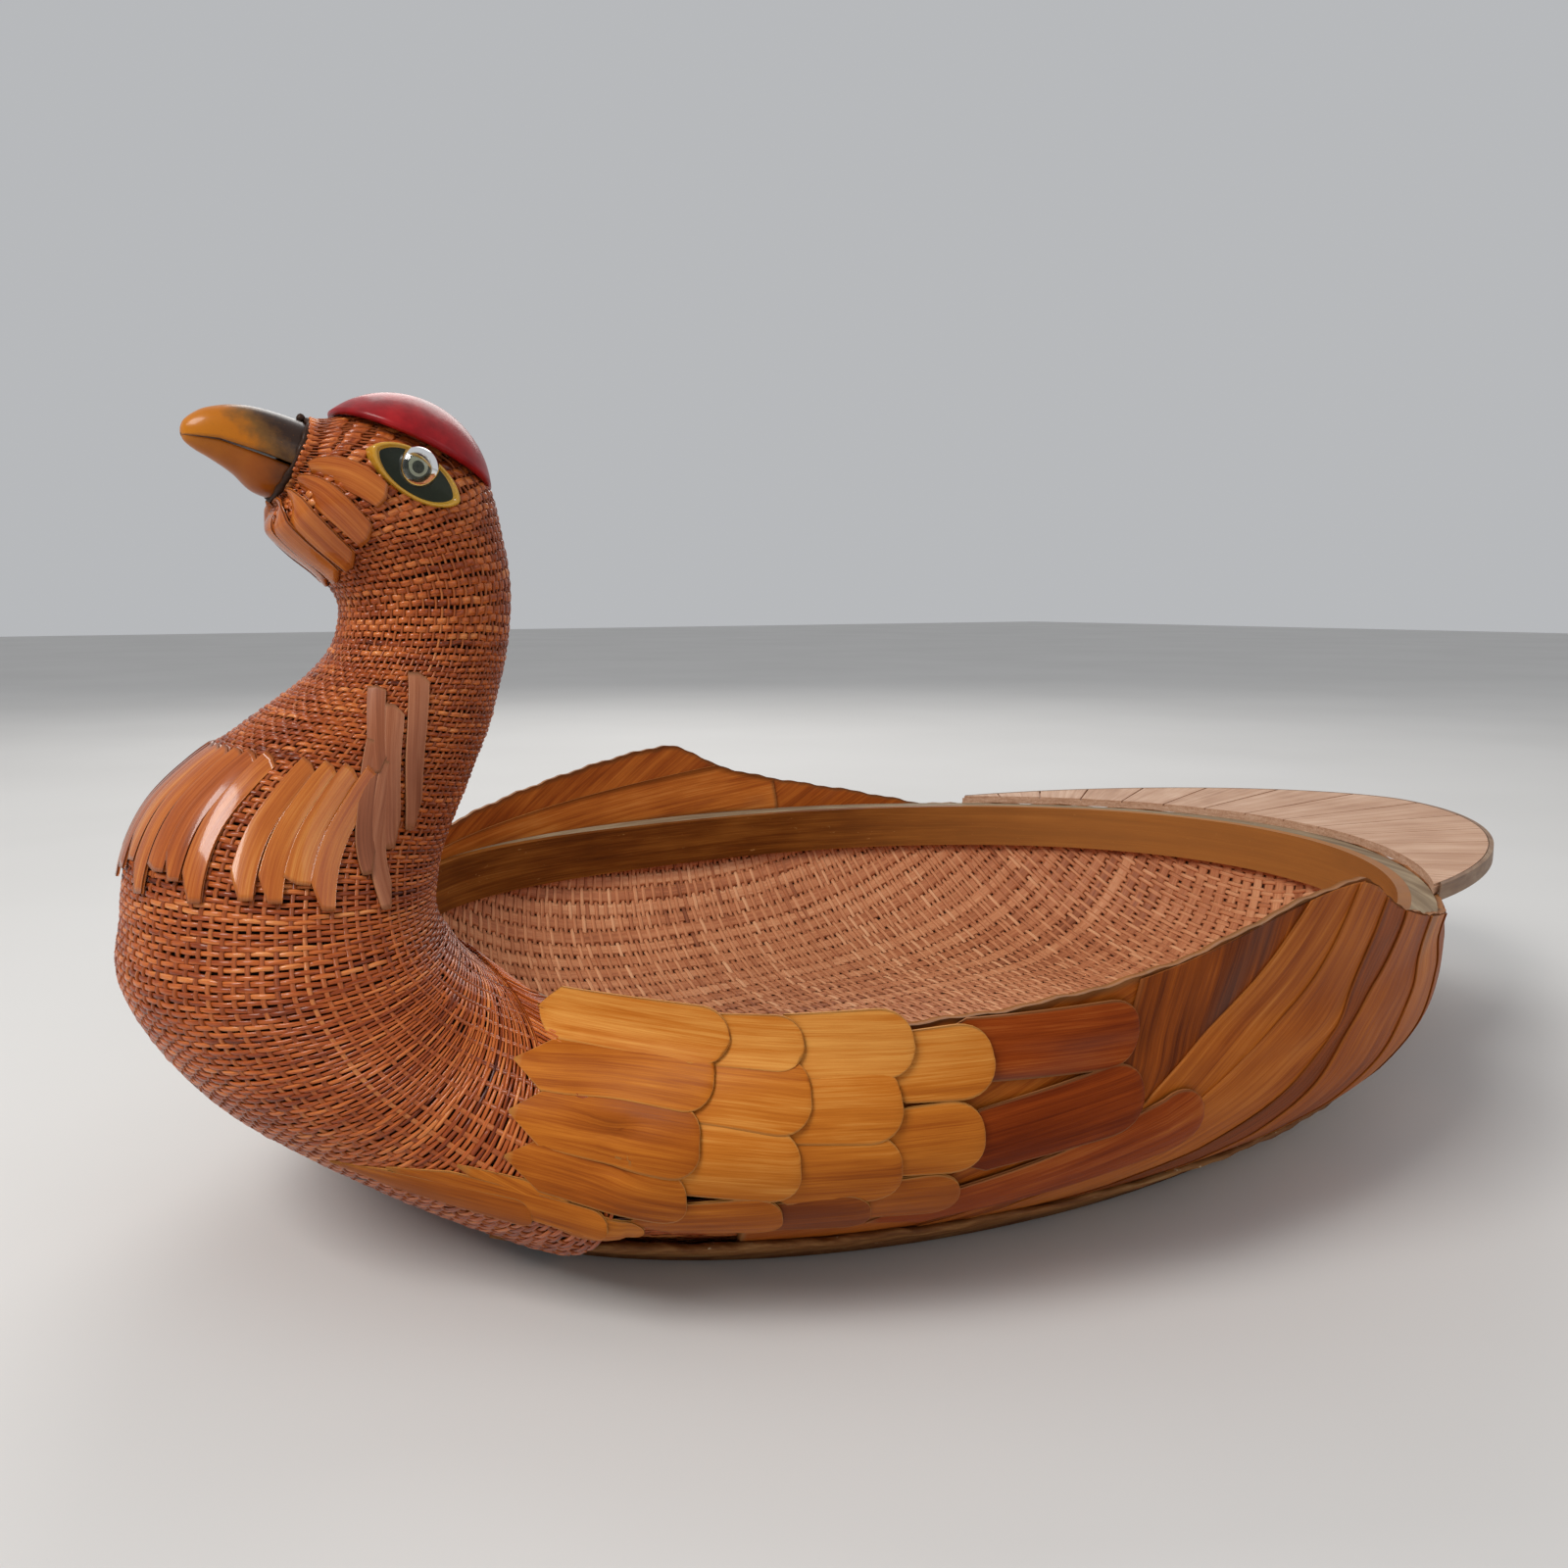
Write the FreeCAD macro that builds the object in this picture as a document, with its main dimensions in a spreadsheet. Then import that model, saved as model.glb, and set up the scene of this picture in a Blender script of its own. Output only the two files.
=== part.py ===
"""Woven bamboo duck basket, as a FreeCAD document.

The duck faces -X, its left side is -Y, and Z is up from the surface it stands on. The origin is on
that surface, below the middle of the bowl. A woven breast and neck open at the back into a woven bowl.
A bent hoop and a flat cover stiffen the bowl's rim, thin bamboo panels and feathers clad its sides,
and a flat fan makes the tail.
"""
import FreeCAD, Part
import math
import os

V = FreeCAD.Vector
Y_AXIS = V(0, 1, 0)
# half the side of the block that construction shapes are cut with; it is larger than the basket
ROOM = 400
LEFT, RIGHT = -1, 1
SIDE_NAME = {LEFT: "left", RIGHT: "right"}

# ---------------------------------------------------------------- driving dimensions, in millimetres

SIZES = {
    # woven skin and sheet stock
    "skin": 2.0,
    "panel": 1.8,
    "slip": 0.8,
    "layer_step": 0.9,
    "layer_gap": 0.1,
    "slip_gap": 0.3,
    "collar_pitch_deg": 8.6,
    "strap_pitch_deg": 17.0,
    "feather_nose": 9.0,
    "wing_gap": 3.0,
    "mouth_gap": 0.5,
    "beak_tip_radius": 2.6,
    # rim
    "rim_top": 70.0,
    "hoop_tall": 18.0,
    "hoop_stock": 4.0,
    "hoop_rear": 194.0,
    "hoop_front": 155.3,
    "hoop_wide": 146.0,
    "hoop_end": -140.0,
    "ledge_thick": 1.6,
    # fold: the plane where the breast ends and the bowl begins
    "fold_x": -157.5,
    # foot and the battens under the floor
    "foot_tall": 8.0,
    "foot_stock": 3.0,
    "batten_wide": 18.0,
    "batten_thick": 3.0,
    "batten_long": 316.0,
    "batten_cross": 168.0,
    "batten_pitch": 150.0,
    # tail fan
    "fan_thick": 2.4,
    "fan_centre": 110.0,
    "fan_reach": 186.0,
    "fan_wide": 118.0,
    "fan_taper": 1.75,
    "fan_edge_tall": 4.4,
    "fan_edge_stock": 1.6,
    "strip_thick": 0.9,
    "strip_count": 15,
    "strip_spread_deg": 62.0,
    "strip_root_x": 70.0,
    "tail_clearance": 6.0,
    # eyes
    "eye_radius": 5.0,
    "eye_x": -168.4,
    "eye_y": 19.2,
    "eye_z": 197.6,
    "plaque_long": 24.0,
    "plaque_tall": 11.0,
    "plaque_tilt_deg": 30.5,
    "plaque_deep": 7.4,
    "plaque_back_y": -15.0,
    # crest
    "crest_radius": 24.6,
    "crest_low_angle": 26.0,
    "crest_x": -167.4,
    "crest_z": 193.2,
    "crest_tilt_deg": 25.0,
}

# Hull outline by height: z, centre x, reach to the front, reach to the rear, half width, and how square
# the front and the rear are (2 is an ellipse).
HULL = [
    (0, 12, 178, 190, 106, 2.0, 2.2),
    (10, 11, 194, 190, 119, 2.0, 2.05),
    (20, 10, 208, 191, 133, 2.0, 1.95),
    (32, 8, 220, 195, 147, 2.0, 1.88),
    (46, 6, 216, 198, 157, 2.0, 1.85),
    (60, 6, 190, 199, 160, 2.2, 1.83),
    (70, 6, 172, 199, 160, 2.4, 1.83),
    (86, 6, 172, 197, 164, 2.3, 1.9),
    (104, 6, 172, 195, 168, 2.2, 1.9),
]

# Woven bowl, inside face, in the same terms.
BOWL = [
    (5, 0, 96, 128, 82, 2.4, 2.0),
    (7.5, 0, 120, 156, 102, 2.5, 2.0),
    (16, 0, 136, 174, 121, 2.6, 2.0),
    (27, 0, 146, 185, 134, 2.8, 2.0),
    (40, 0, 152, 191, 142, 2.9, 2.0),
    (52, 0, 155.5, 194.2, 146.2, 3.0, 2.0),
    (70, 0, 155.5, 194.2, 146.2, 3.0, 2.0),
]

# Breast, neck and head: centre x, centre z, half depth, half width, how far the front of the section
# dips below its back, in degrees, and how square its back half is. It runs from the fold to the beak.
NECK = [
    (-157.5, 37.0, 36.0, 100, 90, 3.0),
    (-171.5, 44.6, 32.4, 82.5, 67.2, 2.7),
    (-182.4, 52.6, 32.6, 69.5, 47.4, 2.4),
    (-193.0, 63.1, 35.4, 63.5, 26.7, 2.2),
    (-200.3, 77.0, 38.3, 56, 7.5, 2.0),
    (-200.8, 88.0, 36.6, 48.5, 0, 2.0),
    (-198.8, 99.5, 36.5, 42, -7, 2.0),
    (-194.6, 109.5, 35.2, 37, -12, 2.0),
    (-187.2, 119.6, 32.8, 33, -12, 2.0),
    (-180.0, 127.8, 30.0, 29.8, -10, 2.0),
    (-172.7, 136.1, 27.0, 26.4, -8, 2.0),
    (-166.6, 144.5, 24.0, 23.6, -5, 2.0),
    (-162.6, 151.8, 22.2, 22, -3, 2.0),
    (-160.7, 159.5, 21.7, 21.5, 0, 2.0),
    (-160.4, 168.0, 22.0, 21.8, 7, 2.0),
    (-163.4, 177.4, 23.6, 22.4, 14, 2.0),
    (-168.2, 186.0, 26.4, 22.6, 19, 2.0),
    (-174.2, 193.6, 26.2, 21.4, 26, 2.0),
    (-180.4, 198.2, 22.0, 18.6, 36, 2.0),
    (-186.4, 199.8, 16.0, 14.2, 48, 2.0),
    (-190.6, 199.6, 11.4, 10.6, 60, 2.0),
]

# Beak sections from base to tip: centre x, centre z, half height, half width, lean of the section.
BEAK = [
    (-191.0, 198.6, 10.4, 9.6, 28),
    (-200.3, 201.4, 10.2, 8.6, 12),
    (-206.0, 203.8, 8.3, 7.2, 4),
    (-211.4, 205.0, 5.6, 5.2, 0),
    (-215.4, 205.3, 2.6, 2.8, 0),
]
# The mouth slit runs below the middle of the beak: x, z.
MOUTH = [(-186, 194.4), (-192, 197.2), (-200, 200.2), (-210, 203.4), (-219, 204.4)]

# Top edges of the wing panels, seen from the side: x, z. They are cut by hand and differ a little.
WING_TOP = {
    LEFT: [(-139, 71.5), (-123, 73), (-103, 76), (-75, 80.5), (-46, 87), (-15, 97), (5, 100), (14, 98),
           (27, 91), (50, 84), (84, 77), (104, 72.5), (118, 70), (150, 70), (200, 70)],
    RIGHT: [(-139, 75), (-118, 80), (-84, 86.5), (-45, 93.6), (-15, 98.6), (3, 100.4), (14, 97.5),
            (27, 90.5), (50, 84), (86, 76.8), (104, 72.8), (118, 70), (150, 70), (200, 70)],
}
WING_FOOT = [(208, 40), (200, 20), (190, 8), (-118, 8), (-128, 24), (-134, 50)]

# Flank feathers from front to rear: tip x and z, rounded end x and z, width. The rearmost lie lowest.
PRIMARIES = [
    (-104, 66, -56, 68, 17),
    (-100, 44, -52, 56, 19),
    (-104, 22, -34, 47, 20),
]
SCALE_COLUMNS = [
    [(-113, 62, -89, 66, 15), (-114, 50, -90, 52, 14), (-116, 34, -91, 37, 14)],
    [(-131, 62, -106, 62, 15), (-131, 48, -107, 48, 14), (-133, 34, -109, 32, 13)],
    [(-143, 68, -121.5, 70, 10), (-146, 60, -122, 60, 15), (-148, 46, -126, 47, 14),
     (-148, 33, -128, 33, 12)],
    [(-159, 70, -134, 70.5, 13), (-166, 61, -137, 62, 16), (-170, 52.5, -142, 51, 16),
     (-172, 46, -146, 38, 15)],
]
BELLY_LEAVES = [(-203, 32, -168, 27, 9), (-194, 36, -162, 24, 9), (-182, 41, -152, 25, 11)]

# Slivers lying on the neck's sides: from row and turn to row and turn (degrees from the front), width.
NECK_SLIVERS = [
    (11.4, 76, 7.4, 116, 6.2),
    (10.4, 74, 7.0, 110, 6.0),
    (10.9, 58, 8.6, 88, 5.6),
    (9.4, 78, 6.4, 103, 6.0),
    (8.9, 90, 5.6, 112, 6.0),
]

# the neck row from which the skin is woven over a solid wooden head
HEAD_ROW = 15

LEVEL_COLUMNS = ("height", "centre", "front", "rear", "wide", "bluff", "taper")
NECK_COLUMNS = ("along", "height", "deep", "wide", "dip", "square")
BEAK_COLUMNS = ("along", "height", "tall", "wide", "lean")

doc = FreeCAD.newDocument("DuckBasket")
sheet = doc.addObject("Spreadsheet::Sheet", "Dims")
nodes = {}


# ---------------------------------------------------------------- the sheet

def put(row, name, value):
    sheet.set(f"A{row}", name)
    sheet.set(f"B{row}", str(value))
    sheet.setAlias(f"B{row}", name)
    return row + 1


def fill_sheet():
    """Every driving dimension gets a cell whose alias is its name."""
    row = 1
    for name, value in SIZES.items():
        row = put(row, name, value)
    for prefix, table, columns in (
        ("hull", HULL, LEVEL_COLUMNS),
        ("bowl", BOWL, LEVEL_COLUMNS),
        ("neck", NECK, NECK_COLUMNS),
        ("beak", BEAK, BEAK_COLUMNS),
    ):
        for k, values in enumerate(table):
            for column, value in zip(columns, values):
                row = put(row, f"{prefix}_{column}_{k}", value)
    doc.recompute()


def dim(name):
    return float(sheet.get(name))


# ---------------------------------------------------------------- small makers

def keep(name, thing, placement=None):
    """Register a document object as a sub-part called name."""
    thing.Label = name
    if placement is not None:
        thing.Placement = placement
    nodes[name] = thing
    return thing


def feature(name, shape, placement=None):
    thing = doc.addObject("Part::Feature", name)
    thing.Shape = shape
    if placement is not None:
        thing.Placement = placement
    return thing


def keep_shape(name, shape, smallest=1.0):
    """Register a sub-part whose shape comes from Part's own functions, without crumbs of a cut."""
    solids = [solid for solid in shape.Solids if solid.Volume > smallest]
    return keep(name, feature(name, Part.makeCompound(solids) if len(solids) > 1 else solids[0]))


def keep_mirror(name, source):
    """Register the right-hand twin of a left-hand sub-part."""
    twin = doc.addObject("Part::Mirroring", name)
    twin.Source = source
    twin.Normal = Y_AXIS
    return keep(name, twin)


def boolean(kind, name, base, tool):
    thing = doc.addObject(f"Part::{kind}", name)
    thing.Base = base
    thing.Tool = tool
    return thing


def bind(thing, **rules):
    for key, rule in rules.items():
        thing.setExpression(key, rule)
    return thing


def box(low_x, high_x, low_z, high_z, low_y=-ROOM, high_y=ROOM):
    """An upright block, as wide as the whole room unless its sides are given."""
    return Part.makeBox(high_x - low_x, high_y - low_y, high_z - low_z, V(low_x, low_y, low_z))


def signed_power(value, power):
    return math.copysign(abs(value) ** power, value)


def oval_points(front, rear, wide, front_square, rear_square, count=28):
    """Points of a closed oval about the origin: its front is on -X and its rear on +X."""
    points = []
    for k in range(count):
        turn = 2 * math.pi * k / count
        c, s = math.cos(turn), math.sin(turn)
        reach, power = (rear, 2 / rear_square) if c > 0 else (front, 2 / front_square)
        points.append(V(reach * signed_power(c, power), wide * signed_power(s, power), 0))
    return points


def oval_wire(points):
    curve = Part.BSplineCurve()
    curve.interpolate(points, PeriodicFlag=True)
    return Part.Wire([curve.toShape()])


def oval_prism(points, centre, low, high):
    """An upright solid with an oval outline, from z low to z high."""
    wire = oval_wire(points)
    wire.translate(V(centre, 0, low))
    return Part.Face(wire).extrude(V(0, 0, high - low))


def loft_object(name, rings):
    loft = doc.addObject("Part::Loft", name)
    loft.Sections = rings
    loft.Solid = True
    loft.Ruled = True
    return loft


def level_row(prefix, k):
    return [dim(f"{prefix}_{column}_{k}") for column in LEVEL_COLUMNS]


def level_loft(name, prefix, table, grow=0.0):
    """A loft through level ovals from the sheet, each grown by grow all round."""
    rings = []
    for k in range(len(table)):
        z, centre, front, rear, wide, front_square, rear_square = level_row(prefix, k)
        points = oval_points(front + grow, rear + grow, wide + grow, front_square, rear_square)
        rings.append(feature(f"{name}_{k}", oval_wire(points),
                             FreeCAD.Placement(V(centre, 0, z), FreeCAD.Rotation())))
    return loft_object(name, rings)


def neck_row(k):
    return [dim(f"neck_{column}_{k}") for column in NECK_COLUMNS]


def neck_loft(name, grow=0.0, first=0, last=None):
    """The breast, neck and head loft. A section's own -X points to its front and its own Y across."""
    rings = []
    for k in range(len(NECK))[first:last]:
        x, z, deep, wide, dip, square = neck_row(k)
        back = V(math.cos(math.radians(dip)), 0, math.sin(math.radians(dip)))
        place = FreeCAD.Placement(V(x, 0, z), FreeCAD.Rotation(back, Y_AXIS, V(), "XYZ"))
        points = oval_points(deep + grow, deep + grow, wide + grow, 2.0, square)
        rings.append(feature(f"{name}_{k}", oval_wire(points), place))
    return loft_object(name, rings)


def loft_shape(maker, *rule):
    """The shape of a construction loft, recomputed on the spot."""
    thing = maker(*rule)
    doc.recompute()
    return thing.Shape


# ---------------------------------------------------------------- places on the skins

def between(low, high, share):
    return low + (high - low) * share


def hull_point(x, z, side):
    """A point of the hull's outside at x and height z."""
    k = max(i for i in range(len(HULL) - 1) if HULL[i][0] <= z)
    share = (z - HULL[k][0]) / (HULL[k + 1][0] - HULL[k][0])
    _, centre, front, rear, wide, bluff, taper = [
        between(a, b, share) for a, b in zip(level_row("hull", k), level_row("hull", k + 1))]
    reach, square = (rear, taper) if x > centre else (front, bluff)
    room = max(0.0, 1 - (abs(x - centre) / reach) ** square)
    return V(x, side * wide * room ** (1 / square), z)


def neck_point(row, turn_deg, side, grow=0.0):
    """A point of the breast, neck or head at a row and a turn away from the front."""
    k = min(int(row), len(NECK) - 2)
    share = row - k
    x, z, deep, wide, dip, _ = [between(a, b, share) for a, b in zip(neck_row(k), neck_row(k + 1))]
    turn = math.radians(turn_deg)
    back = V(math.cos(math.radians(dip)), 0, math.sin(math.radians(dip)))
    across = V(0, side * (wide + grow) * math.sin(turn), 0)
    return V(x, 0, z).add(back * (-(deep + grow) * math.cos(turn))).add(across)


def leaf(length, width, nose, turns=6):
    """A feather's outline: a V at the start, straight sides and a rounded far end."""
    half = width / 2.0
    points = [(0.0, 0.0), (nose, half)]
    centre = length - half
    for k in range(turns + 1):
        angle = math.pi / 2 - math.pi * k / turns
        points.append((centre + half * math.cos(angle), half * math.sin(angle)))
    return points + [(nose, -half)]


def lay(skin, start, end, outward, outline, depth=16.0):
    """The part of a thin skin under an outline laid from start to end, seen along outward."""
    along = end.sub(start).normalize()
    cross = outward.cross(along).normalize()
    normal = along.cross(cross).normalize()
    base = start.sub(normal * depth)
    points = [base.add(along * u).add(cross * w) for u, w in outline]
    prism = Part.Face(Part.makePolygon(points + points[:1])).extrude(normal * (2 * depth))
    return skin.common(prism)


# ---------------------------------------------------------------- woven parts

def woven_parts():
    """The breast and neck skin, the bowl skin and the hull skin meet at the fold."""
    skin, panel, fold = dim("skin"), dim("panel"), dim("fold_x")
    outside = loft_shape(neck_loft, "NeckOutside")
    inside = loft_shape(neck_loft, "NeckInside", -skin)
    keep_shape("woven_breast_and_neck", outside.cut(inside))

    head = loft_shape(neck_loft, "HeadForm", -skin, HEAD_ROW)
    keep_shape("head_block", head)

    bowl_out = loft_shape(level_loft, "BowlOutside", "bowl", BOWL, skin)
    bowl_in = loft_shape(level_loft, "BowlInside", "bowl", BOWL)
    floor_z = BOWL[0][0] - skin
    _, _, front, rear, wide, bluff, taper = level_row("bowl", 0)
    floor_disc = oval_prism(oval_points(front + skin, rear + skin, wide + skin, bluff, taper), 0,
                            floor_z, BOWL[0][0])
    wall_top = dim("rim_top") - dim("ledge_thick")
    trim = box(-ROOM, ROOM, 0, wall_top)
    keep_shape("woven_bowl", bowl_out.cut(bowl_in).fuse(floor_disc).removeSplitter().common(trim))

    hull_out = loft_shape(level_loft, "HullSkinOutside", "hull", HULL, -panel)
    hull_in = loft_shape(level_loft, "HullSkinInside", "hull", HULL, -panel - skin)
    trim = box(fold, ROOM, dim("foot_tall"), wall_top)
    keep_shape("woven_hull", hull_out.cut(hull_in).common(trim))
    return outside, hull_out


def rim_parts(hull_out):
    """The stiff inner hoop and the flat cover between it and the wings."""
    top, stock, tall = dim("rim_top"), dim("hoop_stock"), dim("hoop_tall")
    front, rear, wide = dim("hoop_front"), dim("hoop_rear"), dim("hoop_wide")
    _, _, _, _, _, bluff, taper = level_row("bowl", len(BOWL) - 1)
    hole = oval_prism(oval_points(front - stock, rear - stock, wide - stock, bluff, taper), 0, 0, ROOM)
    hoop = oval_prism(oval_points(front, rear, wide, bluff, taper), 0, top - tall, top).cut(hole)
    keep_shape("rim_hoop", hoop.common(box(dim("hoop_end"), ROOM, 0, ROOM)))

    slab = hull_out.common(box(dim("fold_x") + stock, ROOM, top - dim("ledge_thick"), top))
    keep_shape("rim_cover", slab.cut(oval_prism(oval_points(front, rear, wide, bluff, taper), 0, 0, ROOM)))


def foot_parts(breast):
    """A bent band stands on the ground, and three battens carry the floor inside it."""
    tall, stock = dim("foot_tall"), dim("foot_stock")
    whole = loft_shape(level_loft, "FootOutside", "hull", HULL[:3])
    inner = loft_shape(level_loft, "FootInside", "hull", HULL[:3], -stock)
    band = whole.cut(inner).common(box(-ROOM, ROOM, 0, tall))
    keep_shape("foot_band", band.cut(breast), smallest=60)

    half = dim("batten_wide") / 2
    long_batten = doc.addObject("Part::Box", "base_batten_long")
    bind(long_batten, Length="Dims.batten_long", Width="Dims.batten_wide", Height="Dims.batten_thick")
    keep("base_batten_long", long_batten, FreeCAD.Placement(V(-dim("batten_long") / 2, -half, 0),
                                                           FreeCAD.Rotation()))
    for name, x in (("front", -dim("batten_pitch") / 2), ("rear", dim("batten_pitch") / 2)):
        bar = doc.addObject("Part::Box", f"CrossBar_{name}")
        bind(bar, Length="Dims.batten_wide", Width="Dims.batten_cross", Height="Dims.batten_thick")
        bar.Placement = FreeCAD.Placement(V(x - half, -dim("batten_cross") / 2, 0), FreeCAD.Rotation())
        slot = doc.addObject("Part::Box", f"CrossSlot_{name}")
        bind(slot, Length="Dims.batten_wide * 2", Width="Dims.batten_wide", Height="Dims.batten_thick")
        slot.Placement = FreeCAD.Placement(V(x - 2 * half, -half, 0), FreeCAD.Rotation())
        keep(f"base_batten_{name}", boolean("Cut", f"base_batten_{name}", bar, slot))


# ---------------------------------------------------------------- cladding

def smooth_edge(tops, steps=3):
    """Points of a curve through the given edge, as (x, z)."""
    curve = Part.BSplineCurve()
    curve.interpolate([V(x, 0, z) for x, z in tops])
    count = steps * len(tops)
    span = curve.LastParameter - curve.FirstParameter
    found = [curve.value(curve.FirstParameter + span * k / count) for k in range(count + 1)]
    return [(p.x, p.z) for p in found]


def wing_panels():
    """A thin bamboo sheet clads each side, and its top edge rises above the rim into a wing."""
    outer = loft_shape(level_loft, "WingOutside", "hull", HULL)
    inner = loft_shape(level_loft, "WingInside", "hull", HULL, -dim("panel"))
    sheet_skin = outer.cut(inner)
    half_gap = dim("wing_gap") / 2
    for side in (LEFT, RIGHT):
        outline = smooth_edge(WING_TOP[side]) + WING_FOOT
        points = [V(x, side * half_gap, z) for x, z in outline]
        prism = Part.Face(Part.makePolygon(points + points[:1])).extrude(V(0, side * ROOM, 0))
        keep_shape(f"wing_panel_{SIDE_NAME[side]}", sheet_skin.common(prism), smallest=20)
    return outer


def layer_skin(level):
    """A thin skin over the hull and breast, level steps out from the wing panels."""
    low = level * dim("layer_step") + dim("layer_gap")
    high = low + dim("slip")
    fold = dim("fold_x")
    hull_rows = HULL[:8]
    breast_rows = 6
    hull_skin = loft_shape(level_loft, f"HullLayerOut{level}", "hull", hull_rows, high).cut(
        loft_shape(level_loft, f"HullLayerIn{level}", "hull", hull_rows, low))
    hull_skin = hull_skin.common(box(fold, 0, 1, ROOM, high_y=0))
    breast_skin = loft_shape(neck_loft, f"BreastLayerOut{level}", high, 0, breast_rows).cut(
        loft_shape(neck_loft, f"BreastLayerIn{level}", low, 0, breast_rows))
    breast_skin = breast_skin.common(box(-ROOM, fold, 1, ROOM, high_y=0))
    return Part.makeCompound([hull_skin, breast_skin])


def outward_at(x, z, side):
    """A level vector that points away from the hull at x and height z."""
    ahead = hull_point(x - 3, z, side)
    behind = hull_point(x + 3, z, side)
    along = behind.sub(ahead)
    return V(along.y * side, -along.x * side, 0).normalize() * -1


# the hull's side line is not followed further forward than these places when a feather is set out
FOREMOST_TIP = -176
FOREMOST_MIDDLE = -165


def feather(skin, tip_x, tip_z, end_x, end_z, width):
    """The solids of one feather, set out flat beside the hull and cut from a thin skin over it."""
    start = hull_point(max(tip_x, FOREMOST_TIP), tip_z, LEFT)
    start.x = tip_x
    end = hull_point(end_x, end_z, LEFT)
    outward = outward_at(between(max(tip_x, FOREMOST_MIDDLE), end_x, 0.5), tip_z, LEFT)
    outline = leaf(end.sub(start).Length, width, dim("feather_nose"))
    piece = lay(skin, start, end, outward, outline)
    return [solid for solid in piece.Solids if solid.Volume > 2]


def flank_feathers():
    """Long flight feathers lie lowest, and four columns of scale feathers lap over them."""
    skin = layer_skin(0)
    for k, row in enumerate(PRIMARIES):
        left = keep_shape(f"flight_feather_left_{k + 1}", Part.makeCompound(feather(skin, *row)))
        keep_mirror(f"flight_feather_right_{k + 1}", left)
    leaves = [solid for row in BELLY_LEAVES for solid in feather(skin, *row)]
    left = keep_shape("belly_leaves_left", Part.makeCompound(leaves))
    keep_mirror("belly_leaves_right", left)
    for level, column in enumerate(SCALE_COLUMNS, start=1):
        skin = layer_skin(level)
        solids = [solid for row in column for solid in feather(skin, *row)]
        number = len(SCALE_COLUMNS) + 1 - level
        left = keep_shape(f"scale_feathers_left_{number}", Part.makeCompound(solids))
        keep_mirror(f"scale_feathers_right_{number}", left)


def slip(start, end, widths, side, point=0.12, steps=8):
    """A thin sliver on the neck, from (row, turn) to (row, turn), narrowing over its last share."""
    low = dim("slip_gap")
    high = low + dim("slip")
    wires = []
    shares = [k * (1 - point) / steps for k in range(steps + 1)] + [1.0]
    for share in shares:
        row, turn = between(start[0], end[0], share), between(start[1], end[1], share)
        half = between(widths[0], widths[1], share) / 2 * (0.25 if share == 1.0 else 1.0)
        across = neck_point(row, turn + 1, side).sub(neck_point(row, turn - 1, side)).normalize() * half
        near, far = neck_point(row, turn, side, low), neck_point(row, turn, side, high)
        corners = [near.sub(across), near.add(across), far.add(across), far.sub(across)]
        wires.append(Part.makePolygon(corners + corners[:1]))
    return Part.makeLoft(wires, True, True)


def neck_slips():
    """Glossy slivers ring the breast and lie on the neck, and straps cover the throat."""
    collar = []
    for k in range(-10, 11):
        reach = 2.7 + 0.25 * math.sin(2.3 * k)
        turn = abs(k) * dim("collar_pitch_deg")
        collar.append(slip((8.6, turn), (8.6 - reach, turn), (4.3, 4.7), LEFT if k < 0 else RIGHT))
    keep_shape("breast_collar", Part.makeCompound(collar))

    slivers = [slip((row_a, turn_a), (row_b, turn_b), (width * 0.6, width * 0.6), LEFT)
               for row_a, turn_a, row_b, turn_b, width in NECK_SLIVERS]
    left = keep_shape("neck_slivers_left", Part.makeCompound(slivers))
    keep_mirror("neck_slivers_right", left)

    straps = []
    for k in range(-4, 5):
        turn = abs(k) * dim("strap_pitch_deg")
        straps.append(slip((19.3, turn), (15.0 + 0.2 * abs(k), turn), (3.9, 5.8), LEFT if k < 0 else RIGHT))
    keep_shape("throat_straps", Part.makeCompound(straps))


# ---------------------------------------------------------------- head furniture

def beak_parts(neck):
    """Two mandibles, carved from one taper and parted by the mouth slit."""
    rings = []
    for k, (x, z, tall, wide, lean) in enumerate(BEAK):
        ring = doc.addObject("Part::Ellipse", f"BeakRing_{k}")
        swapped = wide > tall
        bind(ring, MajorRadius=f"Dims.beak_{'wide' if swapped else 'tall'}_{k}",
             MinorRadius=f"Dims.beak_{'tall' if swapped else 'wide'}_{k}")
        up = V(math.sin(math.radians(lean)), 0, math.cos(math.radians(lean)))
        first = Y_AXIS if swapped else up
        second = up * -1 if swapped else Y_AXIS
        ring.Placement = FreeCAD.Placement(V(x, 0, z), FreeCAD.Rotation(first, second, V(), "XYZ"))
        rings.append(ring)
    whole = loft_shape(loft_object, "BeakWhole", rings)
    tip = Part.makeSphere(dim("beak_tip_radius"), V(BEAK[-1][0], 0, BEAK[-1][1]))
    whole = whole.fuse(tip).cut(neck)
    half_gap = dim("mouth_gap") / 2

    def cutter(lift, far_z):
        """Everything between the mouth line, moved up by lift, and the height far_z."""
        points = [V(x, -ROOM, z + lift) for x, z in MOUTH]
        points += [V(MOUTH[-1][0] - 5, -ROOM, far_z), V(MOUTH[0][0] + 8, -ROOM, far_z)]
        return Part.Face(Part.makePolygon(points + points[:1])).extrude(V(0, 2 * ROOM, 0))

    keep_shape("beak_upper", whole.cut(cutter(half_gap, 0)))
    keep_shape("beak_lower", whole.cut(cutter(-half_gap, ROOM)))


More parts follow.
